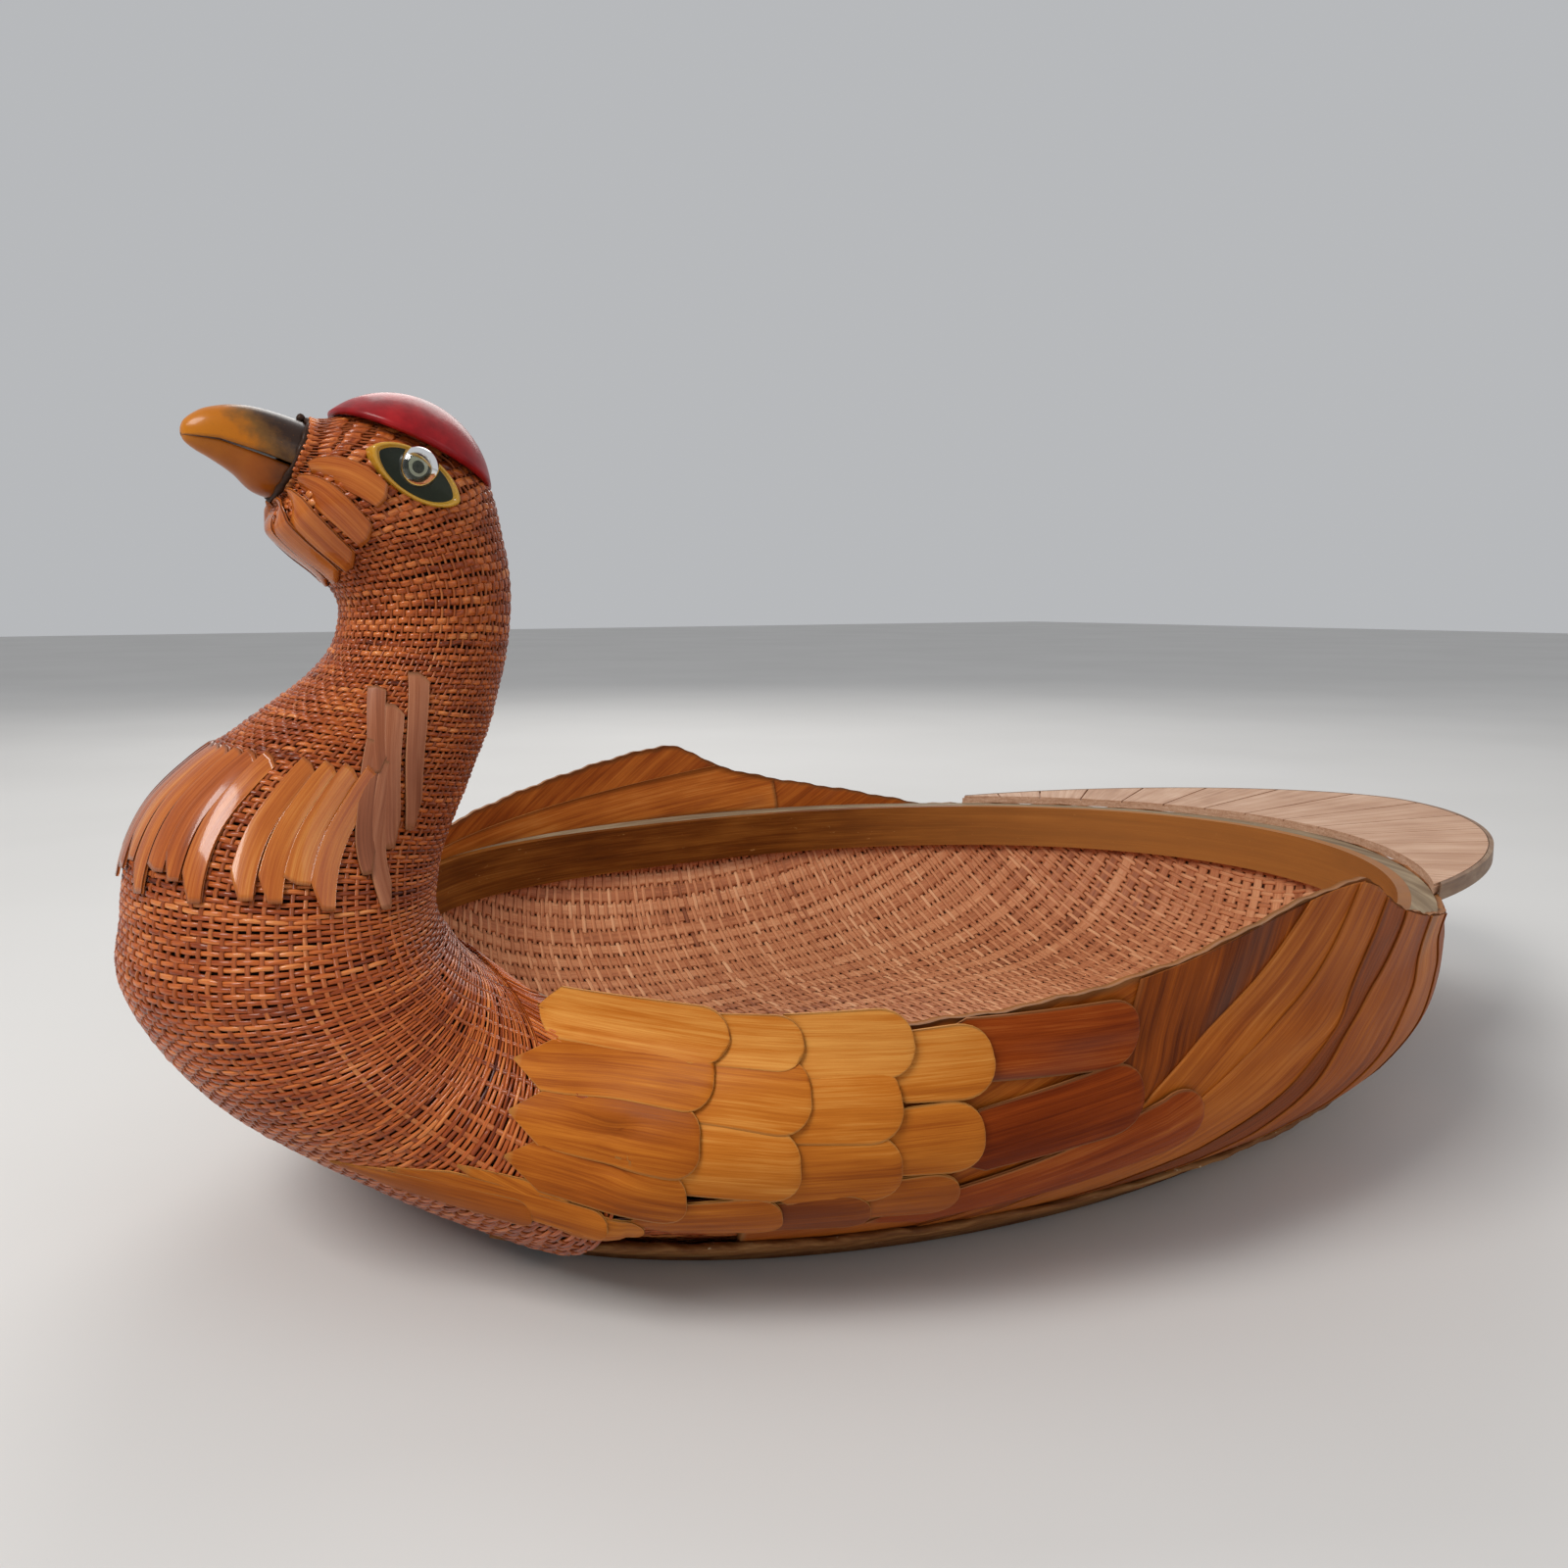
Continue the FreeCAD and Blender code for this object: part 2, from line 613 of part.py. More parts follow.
def eye_parts(neck):
    """An almond plaque on each cheek, with a glass eye set in it."""
    tilt = FreeCAD.Rotation(Y_AXIS, dim("plaque_tilt_deg"))
    half, tall = dim("plaque_long") / 2, dim("plaque_tall") / 2
    top = Part.Arc(V(-half, 0, 0), V(0, 0, tall), V(half, 0, 0)).toShape()
    low = Part.Arc(V(half, 0, 0), V(0, 0, -tall), V(-half, 0, 0)).toShape()
    slab = Part.Face(Part.Wire([top, low])).extrude(V(0, -dim("plaque_deep"), 0))
    back = V(dim("eye_x") - 0.6, dim("plaque_back_y"), dim("eye_z") - 2.0)
    slab.Placement = FreeCAD.Placement(back, tilt)
    ball = Part.makeSphere(dim("eye_radius"), V(dim("eye_x"), -dim("eye_y"), dim("eye_z")))
    plaque = slab.cut(neck)
    left = keep_shape("eye_plaque_left", plaque.cut(ball))
    keep_mirror("eye_plaque_right", left)
    left = keep_shape("glass_eye_left", ball.cut(neck))
    keep_mirror("glass_eye_right", left)


def crest_part(neck):
    """A painted dome is fitted over the crown."""
    place = FreeCAD.Placement(V(dim("crest_x"), 0, dim("crest_z")),
                              FreeCAD.Rotation(Y_AXIS, dim("crest_tilt_deg")))
    dome = doc.addObject("Part::Sphere", "CrestOutside")
    bind(dome, Radius="Dims.crest_radius", Angle1="Dims.crest_low_angle")
    dome.Placement = place
    doc.recompute()
    keep_shape("crest_cap", dome.Shape.cut(neck))


# ---------------------------------------------------------------- tail

def tail_parts(hull_shape):
    """A flat fan, radiating strips on its top and a bent edging round it."""
    top, thick = dim("rim_top"), dim("fan_thick")
    centre, reach, wide, taper = dim("fan_centre"), dim("fan_reach"), dim("fan_wide"), dim("fan_taper")
    stock, tall, strip = dim("fan_edge_stock"), dim("fan_edge_tall"), dim("strip_thick")
    gap = dim("tail_clearance")
    hoop_front, hoop_rear, hoop_wide = dim("hoop_front"), dim("hoop_rear"), dim("hoop_wide")
    clear = oval_prism(oval_points(hoop_front, hoop_rear + gap + 2, hoop_wide + gap, 3, 2), 0, 0, ROOM)
    behind = box(centre - 10, ROOM, 0, ROOM)

    def fan(grow, low, high):
        points = oval_points(reach + grow, reach + grow, wide + grow, 2, taper, count=40)
        return oval_prism(points, centre, low, high).cut(clear).common(behind)

    keep_shape("tail_fan", fan(-stock, top, top + thick))
    rim = fan(0, top - tall + thick, top + thick + strip).cut(fan(-stock - 0.05, 0, ROOM)).cut(hull_shape)
    keep_shape("tail_edging", rim, smallest=8)

    plate = fan(-stock - 0.4, top + thick, top + thick + strip)
    root = V(dim("strip_root_x"), 0, 0)
    solids = []
    count = int(dim("strip_count"))
    spread = dim("strip_spread_deg")
    for k in range(count):
        corners = [root]
        for share in (0.02, 0.98):
            turn = math.radians(-spread + 2 * spread * (k + share) / count)
            corners.append(root.add(V(ROOM * math.cos(turn), ROOM * math.sin(turn), 0)))
        wedge = Part.Face(Part.makePolygon(corners + corners[:1])).extrude(V(0, 0, ROOM))
        solids += plate.common(wedge).Solids
    keep_shape("tail_strips", Part.makeCompound(solids))


# ---------------------------------------------------------------- build, check and write

def check_and_write():
    doc.recompute()
    for thing in doc.Objects:
        if {"Invalid", "Error"} & set(thing.State):
            raise RuntimeError(f"{thing.Label} did not compute: {thing.State}")
    os.makedirs("parts", exist_ok=True)
    for name, thing in nodes.items():
        shape = thing.Shape
        if shape.isNull() or not shape.isValid() or shape.Volume <= 0:
            raise RuntimeError(f"{name} has no valid solid")
        shape.exportStep(f"parts/{name}.step")
        print(f"{name}: {shape.Volume / 1000:.2f} cm3, {len(shape.Solids)} solid(s)")


fill_sheet()
neck_outside, hull_outside = woven_parts()
rim_parts(hull_outside)
foot_parts(neck_outside)
wing_outside = wing_panels()
flank_feathers()
neck_slips()
beak_parts(neck_outside)
eye_parts(neck_outside)
crest_part(neck_outside)
tail_parts(wing_outside)
check_and_write()
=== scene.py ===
import math
import bpy
import numpy as np
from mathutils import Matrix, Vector
from mathutils.bvhtree import BVHTree


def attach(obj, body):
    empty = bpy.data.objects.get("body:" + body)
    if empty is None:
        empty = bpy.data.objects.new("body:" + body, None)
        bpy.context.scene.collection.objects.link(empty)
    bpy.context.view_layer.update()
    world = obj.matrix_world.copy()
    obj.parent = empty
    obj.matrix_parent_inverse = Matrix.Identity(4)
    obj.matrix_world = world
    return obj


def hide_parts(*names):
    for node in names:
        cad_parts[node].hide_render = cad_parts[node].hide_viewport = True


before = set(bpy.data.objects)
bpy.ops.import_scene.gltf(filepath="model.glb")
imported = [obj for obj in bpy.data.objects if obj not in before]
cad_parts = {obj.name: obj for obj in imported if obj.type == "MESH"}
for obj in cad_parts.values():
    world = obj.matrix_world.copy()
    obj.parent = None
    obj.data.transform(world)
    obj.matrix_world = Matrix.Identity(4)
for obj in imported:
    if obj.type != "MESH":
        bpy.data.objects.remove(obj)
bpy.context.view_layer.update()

# The duck faces -X, its left side is -Y, Z is up. Lengths below are millimetres; pieces are made in metres.
MM = 0.001
LEFT, RIGHT = -1, 1
SIDE_NAME = {LEFT: "left", RIGHT: "right"}
rng = np.random.default_rng(11)

# --- the forms, as in the CAD tables

# height, centre x, reach to the front, to the rear, half width, squareness of the front and the rear
HULL = [
    (0, 12, 178, 190, 106, 2.0, 2.2),
    (10, 11, 194, 190, 119, 2.0, 2.05),
    (20, 10, 208, 191, 133, 2.0, 1.95),
    (32, 8, 220, 195, 147, 2.0, 1.88),
    (46, 6, 216, 198, 157, 2.0, 1.85),
    (60, 6, 190, 199, 160, 2.2, 1.83),
    (70, 6, 172, 199, 160, 2.4, 1.83),
    (86, 6, 172, 197, 164, 2.3, 1.9),
    (104, 6, 172, 195, 168, 2.2, 1.9),
]
BOWL = [
    (5, 0, 96, 128, 82, 2.4, 2.0),
    (7.5, 0, 120, 156, 102, 2.5, 2.0),
    (16, 0, 136, 174, 121, 2.6, 2.0),
    (27, 0, 146, 185, 134, 2.8, 2.0),
    (40, 0, 152, 191, 142, 2.9, 2.0),
    (52, 0, 155.5, 194.2, 146.2, 3.0, 2.0),
    (70, 0, 155.5, 194.2, 146.2, 3.0, 2.0),
]
# centre x, centre z, half depth, half width, dip of the front in degrees, squareness of the back
NECK = [
    (-157.5, 37.0, 36.0, 100, 90, 3.0),
    (-171.5, 44.6, 32.4, 82.5, 67.2, 2.7),
    (-182.4, 52.6, 32.6, 69.5, 47.4, 2.4),
    (-193.0, 63.1, 35.4, 63.5, 26.7, 2.2),
    (-200.3, 77.0, 38.3, 56, 7.5, 2.0),
    (-200.8, 88.0, 36.6, 48.5, 0, 2.0),
    (-198.8, 99.5, 36.5, 42, -7, 2.0),
    (-194.6, 109.5, 35.2, 37, -12, 2.0),
    (-187.2, 119.6, 32.8, 33, -12, 2.0),
    (-180.0, 127.8, 30.0, 29.8, -10, 2.0),
    (-172.7, 136.1, 27.0, 26.4, -8, 2.0),
    (-166.6, 144.5, 24.0, 23.6, -5, 2.0),
    (-162.6, 151.8, 22.2, 22, -3, 2.0),
    (-160.7, 159.5, 21.7, 21.5, 0, 2.0),
    (-160.4, 168.0, 22.0, 21.8, 7, 2.0),
    (-163.4, 177.4, 23.6, 22.4, 14, 2.0),
    (-168.2, 186.0, 26.4, 22.6, 19, 2.0),
    (-174.2, 193.6, 26.2, 21.4, 26, 2.0),
    (-180.4, 198.2, 22.0, 18.6, 36, 2.0),
    (-186.4, 199.8, 16.0, 14.2, 48, 2.0),
    (-190.6, 199.6, 11.4, 10.6, 60, 2.0),
    (-193.6, 200.4, 10.9, 10.0, 66, 2.0),
]
# centre x, centre z, half height, half width, lean in degrees
BEAK = [
    (-186.0, 197.0, 9.6, 9.4, 34),
    (-191.0, 198.6, 10.4, 9.6, 28),
    (-200.3, 201.4, 10.2, 8.6, 12),
    (-206.0, 203.8, 8.3, 7.2, 4),
    (-211.4, 205.0, 6.1, 5.5, 0),
    (-214.6, 205.2, 4.4, 4.1, 0),
    (-216.8, 205.2, 2.6, 2.5, 0),
    (-217.6, 205.2, 1.0, 1.0, 0),
]
MOUTH = [(-186, 194.4), (-192, 197.2), (-200, 200.2), (-210, 203.4), (-219, 204.4)]
WING_TOP = {
    LEFT: [(-139, 71.5), (-123, 73), (-103, 76), (-75, 80.5), (-46, 87), (-15, 97), (5, 100), (14, 98),
           (27, 91), (50, 84), (84, 77), (104, 72.5), (118, 70), (150, 70), (200, 70)],
    RIGHT: [(-139, 75), (-118, 80), (-84, 86.5), (-45, 93.6), (-15, 98.6), (3, 100.4), (14, 97.5),
            (27, 90.5), (50, 84), (86, 76.8), (104, 72.8), (118, 70), (150, 70), (200, 70)],
}


# --- numbers and surfaces

def smooth_table(table, where):
    """Rows between the rows of a table, on a smooth curve through them."""
    table = np.asarray(table, float)
    last = len(table) - 1
    where = np.clip(np.asarray(where, float), 0, last)
    i = np.minimum(where.astype(int), last - 1)
    f = (where - i)[:, None]
    a, b, c, d = (table[np.clip(i + k, 0, last)] for k in (-1, 0, 1, 2))
    return 0.5 * (2 * b + (c - a) * f + (2 * a - 5 * b + 4 * c - d) * f ** 2 + (3 * b - a - 3 * c + d) * f ** 3)


def oval(front, rear, wide, n_front, n_rear, shares):
    """Points of an oval at even shares of its girth, from the front by way of the left side."""
    turn = np.linspace(math.pi, 3 * math.pi, 721)
    c, s = np.cos(turn), np.sin(turn)
    reach = np.where(c > 0, rear, front)
    power = 2 / np.where(c > 0, n_rear, n_front)
    x = reach * np.sign(c) * np.abs(c) ** power
    y = wide * np.sign(s) * np.abs(s) ** power
    length = np.concatenate([[0], np.cumsum(np.hypot(np.diff(x), np.diff(y)))])
    at = np.asarray(shares) * length[-1]
    return np.interp(at, length, x), np.interp(at, length, y)


def unit(v):
    return v / np.maximum(np.linalg.norm(v, axis=-1, keepdims=True), 1e-9)


def ring_normals(grid):
    """Outward normals of a grid of closed rings, row by row."""
    down = np.gradient(grid, axis=0)
    around = np.roll(grid, -1, axis=1) - np.roll(grid, 1, axis=1)
    normal = unit(np.cross(around, down))
    middle = grid.mean(axis=1, keepdims=True)
    if (normal * (grid - middle)).sum() < 0:
        normal = -normal
    return normal


def neck_grid(rows, shares):
    grid = np.zeros((len(rows), len(shares), 3))
    for k, (x, z, deep, wide, dip, square) in enumerate(smooth_table(NECK, rows)):
        b, y = oval(deep, deep, wide, 2.0, square, shares)
        tilt = math.radians(dip)
        grid[k] = np.stack([x + b * math.cos(tilt), y, z + b * math.sin(tilt)], axis=1)
    return grid


def level_grid(table, rows, shares):
    grid = np.zeros((len(rows), len(shares), 3))
    for k, (z, centre, front, rear, wide, n_front, n_rear) in enumerate(smooth_table(table, rows)):
        x, y = oval(front, rear, wide, n_front, n_rear, shares)
        grid[k] = np.stack([x + centre, y, np.full_like(x, z)], axis=1)
    return grid


HULL_HEIGHTS = np.array([row[0] for row in HULL], float)


def hull_points(x, z, side, grow=0.0):
    """Points of the hull's outside at x and height z, on one side, moved out by grow."""
    x, z = np.broadcast_arrays(np.asarray(x, float), np.asarray(z, float))
    rows = np.interp(z.ravel(), HULL_HEIGHTS, np.arange(len(HULL)))
    _, centre, front, rear, wide, bluff, taper = smooth_table(HULL, rows).T
    flat_x = x.ravel()
    behind = flat_x > centre
    reach = np.where(behind, rear, front) + grow
    square = np.where(behind, taper, bluff)
    room = np.maximum(0.0, 1 - (np.abs(flat_x - centre) / reach) ** square)
    y = side * (wide + grow) * room ** (1 / square)
    return np.stack([flat_x, y, z.ravel()], axis=1).reshape(x.shape + (3,))


# --- making pieces

def make_piece(name, points, faces, material, replaces=(), grain=None, tint=None, edge=None):
    """A mesh piece from points in millimetres and four-cornered faces."""
    points = np.ascontiguousarray(points.reshape(-1, 3))
    faces = np.ascontiguousarray(faces.reshape(-1, 4))
    used = np.zeros(len(points), bool)
    used[faces.ravel()] = True
    faces = (np.cumsum(used) - 1)[faces]
    mesh = bpy.data.meshes.new(name)
    mesh.vertices.add(int(used.sum()))
    mesh.vertices.foreach_set("co", (points[used] * MM).ravel())
    mesh.loops.add(faces.size)
    mesh.loops.foreach_set("vertex_index", faces.ravel())
    mesh.polygons.add(len(faces))
    mesh.polygons.foreach_set("loop_start", np.arange(0, faces.size, 4))
    mesh.update(calc_edges=True)
    mesh.polygons.foreach_set("use_smooth", np.ones(len(faces), bool))
    if grain is not None:
        data = mesh.attributes.new("grain", "FLOAT_VECTOR", "POINT").data
        data.foreach_set("vector", grain.reshape(-1, 3)[used].ravel())
    for label, values in (("tint", tint), ("edge", edge)):
        if values is not None:
            data = mesh.attributes.new(label, "FLOAT", "POINT").data
            data.foreach_set("value", values.ravel()[used])
    mesh.validate()
    made = bpy.data.objects.new(name, mesh)
    bpy.context.scene.collection.objects.link(made)
    mesh.materials.append(material)
    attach(made, "root")
    if replaces:
        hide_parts(*replaces)
    return made


def ring_quads(ids):
    """Faces between closed rings of point numbers, one row a ring."""
    ahead = np.roll(ids, -1, axis=1)
    return np.stack([ids[:-1], ids[1:], ahead[1:], ahead[:-1]], axis=-1).reshape(-1, 4)


def shell_quads(shell, ends, turned):
    """Faces of a skin with two layers, closed at the rows in ends."""
    ids = np.arange(shell[..., 0].size).reshape(shell.shape[:3])
    inner = ring_quads(ids[..., 1])
    if turned:
        inner = np.roll(inner[:, ::-1], 1, axis=1)
    faces = [ring_quads(ids[..., 0]), inner]
    for k in ends:
        a, b = ids[k].T
        faces.append(np.stack([a, b, np.roll(b, -1), np.roll(a, -1)], axis=-1))
    return np.concatenate(faces)


def ring_piece(name, rings, material, replaces=()):
    """A piece whose skin runs over a row of closed rings."""
    ids = np.arange(rings[..., 0].size).reshape(rings.shape[:2])
    return make_piece(name, rings, ring_quads(ids), material, replaces)


def strip_faces(grid, closed_along=False, keep=None):
    """Faces of strips whose cross-sections are closed loops of points; keep says which samples stay."""
    ids = np.arange(grid[..., 0].size).reshape(grid.shape[:3])
    a, b = ids, np.roll(ids, -1, axis=1)
    both = None if keep is None else keep & np.roll(keep, -1, axis=1)
    if not closed_along:
        a, b, both = a[:, :-1], b[:, :-1], None if keep is None else both[:, :-1]
    faces = np.stack([a, b, np.roll(b, -1, axis=2), np.roll(a, -1, axis=2)], axis=-1)
    return faces if both is None else faces[both]


# across and height of a splint's cross-section, as shares of its half width and thickness
SPLINT = [(-1.0, 0.15), (-0.78, 0.86), (0.0, 1.0), (0.78, 0.86), (1.0, 0.15), (0.0, -0.2)]
FLAT_SPLINT = [(-1.0, 0.0), (-0.9, 1.0), (0.9, 1.0), (1.0, 0.0)]
THIN_SPLINT = [(-1.0, 0.15), (-0.5, 0.9), (0.5, 0.9), (1.0, 0.15), (0.0, -0.2)]
GRAIN_SEEDS = 500


def strip_grid(place, half, normal, lift, thick, section):
    """Points of strips: place(a) gives the points that lie a across."""
    return np.stack([place(a * half) + normal * (lift + b * thick)[..., None] for a, b in section], axis=2)


def strip_looks(shape, along, half_width, section, tint, spread):
    """Grain coordinates in millimetres, with a number for each splint, and the splints' tints."""
    grain = np.zeros(shape + (3,))
    grain[..., 0] = along[..., None]
    grain[..., 1] = np.array([a for a, _ in section]) * half_width
    grain[..., 2] = rng.uniform(0, GRAIN_SEEDS, shape[0])[:, None, None]
    tints = np.clip(rng.normal(tint, spread, shape[0]), 0, 1)[:, None, None]
    return grain, tints + np.zeros(shape)


# --- materials

class Nodes:
    """The nodes of one material, with short ways to add more; a value is a number, a colour or a socket."""

    def __init__(self, name):
        self.material = bpy.data.materials.new(name)
        self.material.use_nodes = True
        self.tree = self.material.node_tree
        self.tree.nodes.clear()
        self.shader = self.add("BsdfPrincipled")
        self.add("OutputMaterial", {"Surface": self.shader.outputs["BSDF"]})

    def put(self, node, values):
        for key, value in values.items():
            if isinstance(value, bpy.types.NodeSocket):
                self.tree.links.new(value, node.inputs[key])
            elif node.inputs[key].type == "RGBA":
                node.inputs[key].default_value = (*value, 1.0)
            else:
                node.inputs[key].default_value = value
        return node

    def add(self, kind, values={}, **settings):
        node = self.tree.nodes.new("ShaderNode" + kind)
        for key, value in settings.items():
            setattr(node, key, value)
        return self.put(node, values)

    def finish(self, values):
        self.put(self.shader, values)
        return self.material

    def math(self, operation, first, second=None):
        values = {0: first} if second is None else {0: first, 1: second}
        return self.add("Math", values, operation=operation).outputs[0]

    def scaled(self, value, size):
        return self.math("MULTIPLY", value, size)

    def total(self, first, second):
        return self.math("ADD", first, second)

    def centred(self, value, size):
        """A value from 0 to 1, moved to lie around 0 and scaled."""
        return self.scaled(self.math("SUBTRACT", value, 0.5), size)

    def mix(self, share, first, second):
        node = self.add("Mix", data_type="RGBA", blend_type="MIX")
        return self.put(node, {"Factor": share, "A": first, "B": second}).outputs["Result"]

    def ramp(self, value, stops):
        node = self.add("ValToRGB", {"Fac": value})
        while len(node.color_ramp.elements) < len(stops):
            node.color_ramp.elements.new(0.5)
        for element, (place, colour) in zip(node.color_ramp.elements, stops):
            element.position = place
            element.color = (*colour, 1.0)
        return node.outputs["Color"]

    def step(self, value, low, high):
        """0 below low and 1 above high."""
        node = self.add("MapRange", interpolation_type="SMOOTHSTEP")
        return self.put(node, {"Value": value, "From Min": low, "From Max": high}).outputs["Result"]

    def spread(self, value, ends, start=0.0, stop=1.0):
        """A value from start to stop, stretched to lie between the two ends."""
        values = {"Value": value, "From Min": start, "From Max": stop, "To Min": ends[0], "To Max": ends[1]}
        return self.add("MapRange", values).outputs["Result"]

    def noise(self, vector, scale, stretch=(1, 1, 1), detail=4.0, rough=0.6, distortion=0.0):
        placed = self.add("Mapping", {"Vector": vector, "Scale": stretch}).outputs["Vector"]
        return self.add("TexNoise", {"Vector": placed, "Scale": scale, "Detail": detail, "Roughness": rough,
                                     "Distortion": distortion}).outputs["Fac"]

    def bump(self, height, strength, distance):
        values = {"Height": height, "Strength": strength, "Distance": distance * MM}
        return self.add("Bump", values).outputs["Normal"]

    def attribute(self, name, output="Fac"):
        return self.add("Attribute", attribute_name=name).outputs[output]

    def axes(self, vector):
        return self.add("SeparateXYZ", {"Vector": vector}).outputs

    def object_mm(self):
        place = self.add("TexCoord").outputs["Object"]
        return self.add("VectorMath", {"Vector": place, "Scale": 1 / MM}, operation="SCALE").outputs["Vector"]


RIM_RADIUS = 150.0


def polar_mm(nodes, centre_x, fan, outward):
    """Grain round the bowl: along the rim and up, or on a fan out from its centre."""
    x, y, z = nodes.axes(nodes.object_mm())
    x = nodes.math("SUBTRACT", x, centre_x)
    out = nodes.math("SQRT", nodes.total(nodes.scaled(x, x), nodes.scaled(y, y)))
    along = nodes.scaled(nodes.math("ARCTAN2", y, x), RIM_RADIUS)
    places = (out, along, z) if fan else (along, z, nodes.scaled(out, outward))
    return nodes.add("CombineXYZ", dict(zip("XYZ", places))).outputs["Vector"]


def fibre_material(name, stops, coords="grain", streak=(0.02, 0.55), fibre=(0.05, 3.2), roughness=(0.4, 0.65),
                   coat=0.0, coat_roughness=0.15, bump=0.25, tint_weight=0.55, edge_colour=None, stain=None,
                   specks=None, centre_x=0.0, specular=0.2, painted_light_rear=None):
    """Split bamboo: long streaks, fine fibres and blotches along the grain, with worn edges and stains.

    streak and fibre are the scales of their noise along and across the grain.
    """
    nodes = Nodes(name)
    if coords == "grain":
        vector = nodes.attribute("grain", "Vector")
    elif coords == "object":
        vector = nodes.object_mm()
    else:
        vector = polar_mm(nodes, centre_x, coords == "fan", 0.02 if painted_light_rear else 0.25)
    streaks = nodes.noise(vector, 1.0, (*streak, 1.7), 5.0, 0.6, 0.4)
    fibres = nodes.noise(vector, 1.0, (*fibre, 1.3), 3.0)
    patches = nodes.noise(vector, 1.0, (0.03, 0.06, 0.9), 3.0, 0.5)
    value = nodes.total(nodes.scaled(streaks, 0.75), nodes.scaled(fibres, 0.45))
    value = nodes.math("SUBTRACT", nodes.total(value, nodes.centred(patches, 0.5)), 0.1)
    if coords == "grain":
        value = nodes.total(value, nodes.centred(nodes.attribute("tint"), tint_weight))
    colour = nodes.ramp(value, stops)
    if stain is not None:
        area = nodes.step(nodes.noise(vector, 1.0, (0.012, 0.05, 0.6), 2.0, 0.5), 0.60, 0.74)
        colour = nodes.mix(nodes.scaled(area, 0.75), colour, stain)
    if specks is not None:
        spots = nodes.noise(vector, 1.0, (0.22, 0.6, 1.1), 4.0, 0.7)
        colour = nodes.mix(nodes.step(spots, 0.66, 0.72), colour, specks)
    # Painted light: the colour turns paler from x 30 mm towards the rear, and the front stays darker as painted
    # shade.
    if painted_light_rear is not None:
        rear = nodes.step(nodes.axes(nodes.object_mm())["X"], 30.0, 200.0)
        colour = nodes.mix(nodes.scaled(rear, 0.5), colour, painted_light_rear)
    if edge_colour is not None:
        colour = nodes.mix(nodes.attribute("edge"), colour, edge_colour)
    height = nodes.total(nodes.scaled(streaks, 0.6), nodes.scaled(fibres, 0.7))
    return nodes.finish({
        "Base Color": colour, "Roughness": nodes.spread(fibres, roughness, 0.3, 0.7), "Coat Weight": coat,
        "Coat Roughness": coat_roughness, "Specular IOR Level": specular,
        "Normal": nodes.bump(height, bump, 0.25)})


def paint_material(name, stops, direction, low, high, roughness, coat, speckle, noise_scale=0.25):
    """Paint that changes from low to high along one direction of the object, brushed and worn."""
    nodes = Nodes(name)
    vector = nodes.object_mm()
    toward = nodes.add("VectorMath", {0: vector, 1: direction}, operation="DOT_PRODUCT").outputs["Value"]
    wavy = nodes.noise(vector, noise_scale)
    fine = nodes.noise(vector, 1.4, detail=5.0, rough=0.7)
    place = nodes.spread(toward, (0.0, 1.0), low, high)
    colour = nodes.ramp(nodes.total(place, nodes.centred(wavy, 0.35)), stops)
    return nodes.finish({
        "Base Color": nodes.mix(nodes.scaled(nodes.step(fine, 0.60, 0.70), 0.5), colour, speckle),
        "Roughness": nodes.spread(fine, roughness), "Coat Weight": coat, "Coat Roughness": 0.12,
        "Specular IOR Level": 0.15, "Normal": nodes.bump(wavy, 0.3, 0.3)})


def lacquer_material(name, stops, chipped):
    """Clouded crimson lacquer with small chips."""
    nodes = Nodes(name)
    vector = nodes.object_mm()
    cloud = nodes.noise(vector, 0.12)
    chips = nodes.noise(vector, 0.9, detail=5.0, rough=0.7)
    colour = nodes.ramp(cloud, stops)
    return nodes.finish({
        "Base Color": nodes.mix(nodes.scaled(nodes.step(chips, 0.68, 0.74), 0.8), colour, chipped),
        "Roughness": nodes.spread(chips, (0.30, 0.45)), "Coat Weight": 0.18, "Coat Roughness": 0.15,
        "Specular IOR Level": 0.12, "Normal": nodes.bump(cloud, 0.25, 0.6)})


def glass_material(name, stops):
    """Clear glass with a little haze."""
    nodes = Nodes(name)
    haze = nodes.noise(nodes.object_mm(), 0.6, detail=3.0)
    return nodes.finish({
        "Base Color": nodes.ramp(haze, stops), "Roughness": nodes.spread(haze, (0.02, 0.08)),
        "Transmission Weight": 1.0, "IOR": 1.46})


# Colour stops run from dark to pale fibres.
lacquered = fibre_material(
    "lacquered_weave",
    [(0.14, (0.05, 0.007, 0.002)), (0.40, (0.26, 0.046, 0.008)), (0.60, (0.46, 0.11, 0.022)),
     (0.85, (0.66, 0.25, 0.075))],
    streak=(0.05, 1.2), fibre=(0.12, 5.0), roughness=(0.26, 0.42), coat=0.36, coat_roughness=0.08, bump=0.35,
    specular=0.10)
stake_mat = fibre_material(
    "weave_stakes", [(0.2, (0.15, 0.026, 0.006)), (0.6, (0.34, 0.08, 0.018)), (0.9, (0.50, 0.17, 0.05))],
    streak=(0.05, 1.2), fibre=(0.12, 5.0), roughness=(0.3, 0.5), coat=0.3, bump=0.3, specular=0.10)
# a near-black finish for the skins behind the weave: painted shade seen through the gaps between splints
shade_backing_mat = fibre_material(
    "weave_shadow", [(0.2, (0.010, 0.003, 0.0015)), (0.8, (0.030, 0.010, 0.005))], coords="object",
    roughness=(0.8, 0.95), bump=0.2)
plain_weave = fibre_material(
    "plain_weave",
    [(0.12, (0.19, 0.055, 0.022)), (0.40, (0.42, 0.145, 0.06)), (0.64, (0.57, 0.24, 0.11)),
     (0.9, (0.72, 0.38, 0.20))],
    streak=(0.03, 0.8), fibre=(0.08, 4.0), roughness=(0.42, 0.62), bump=0.35, tint_weight=0.5)
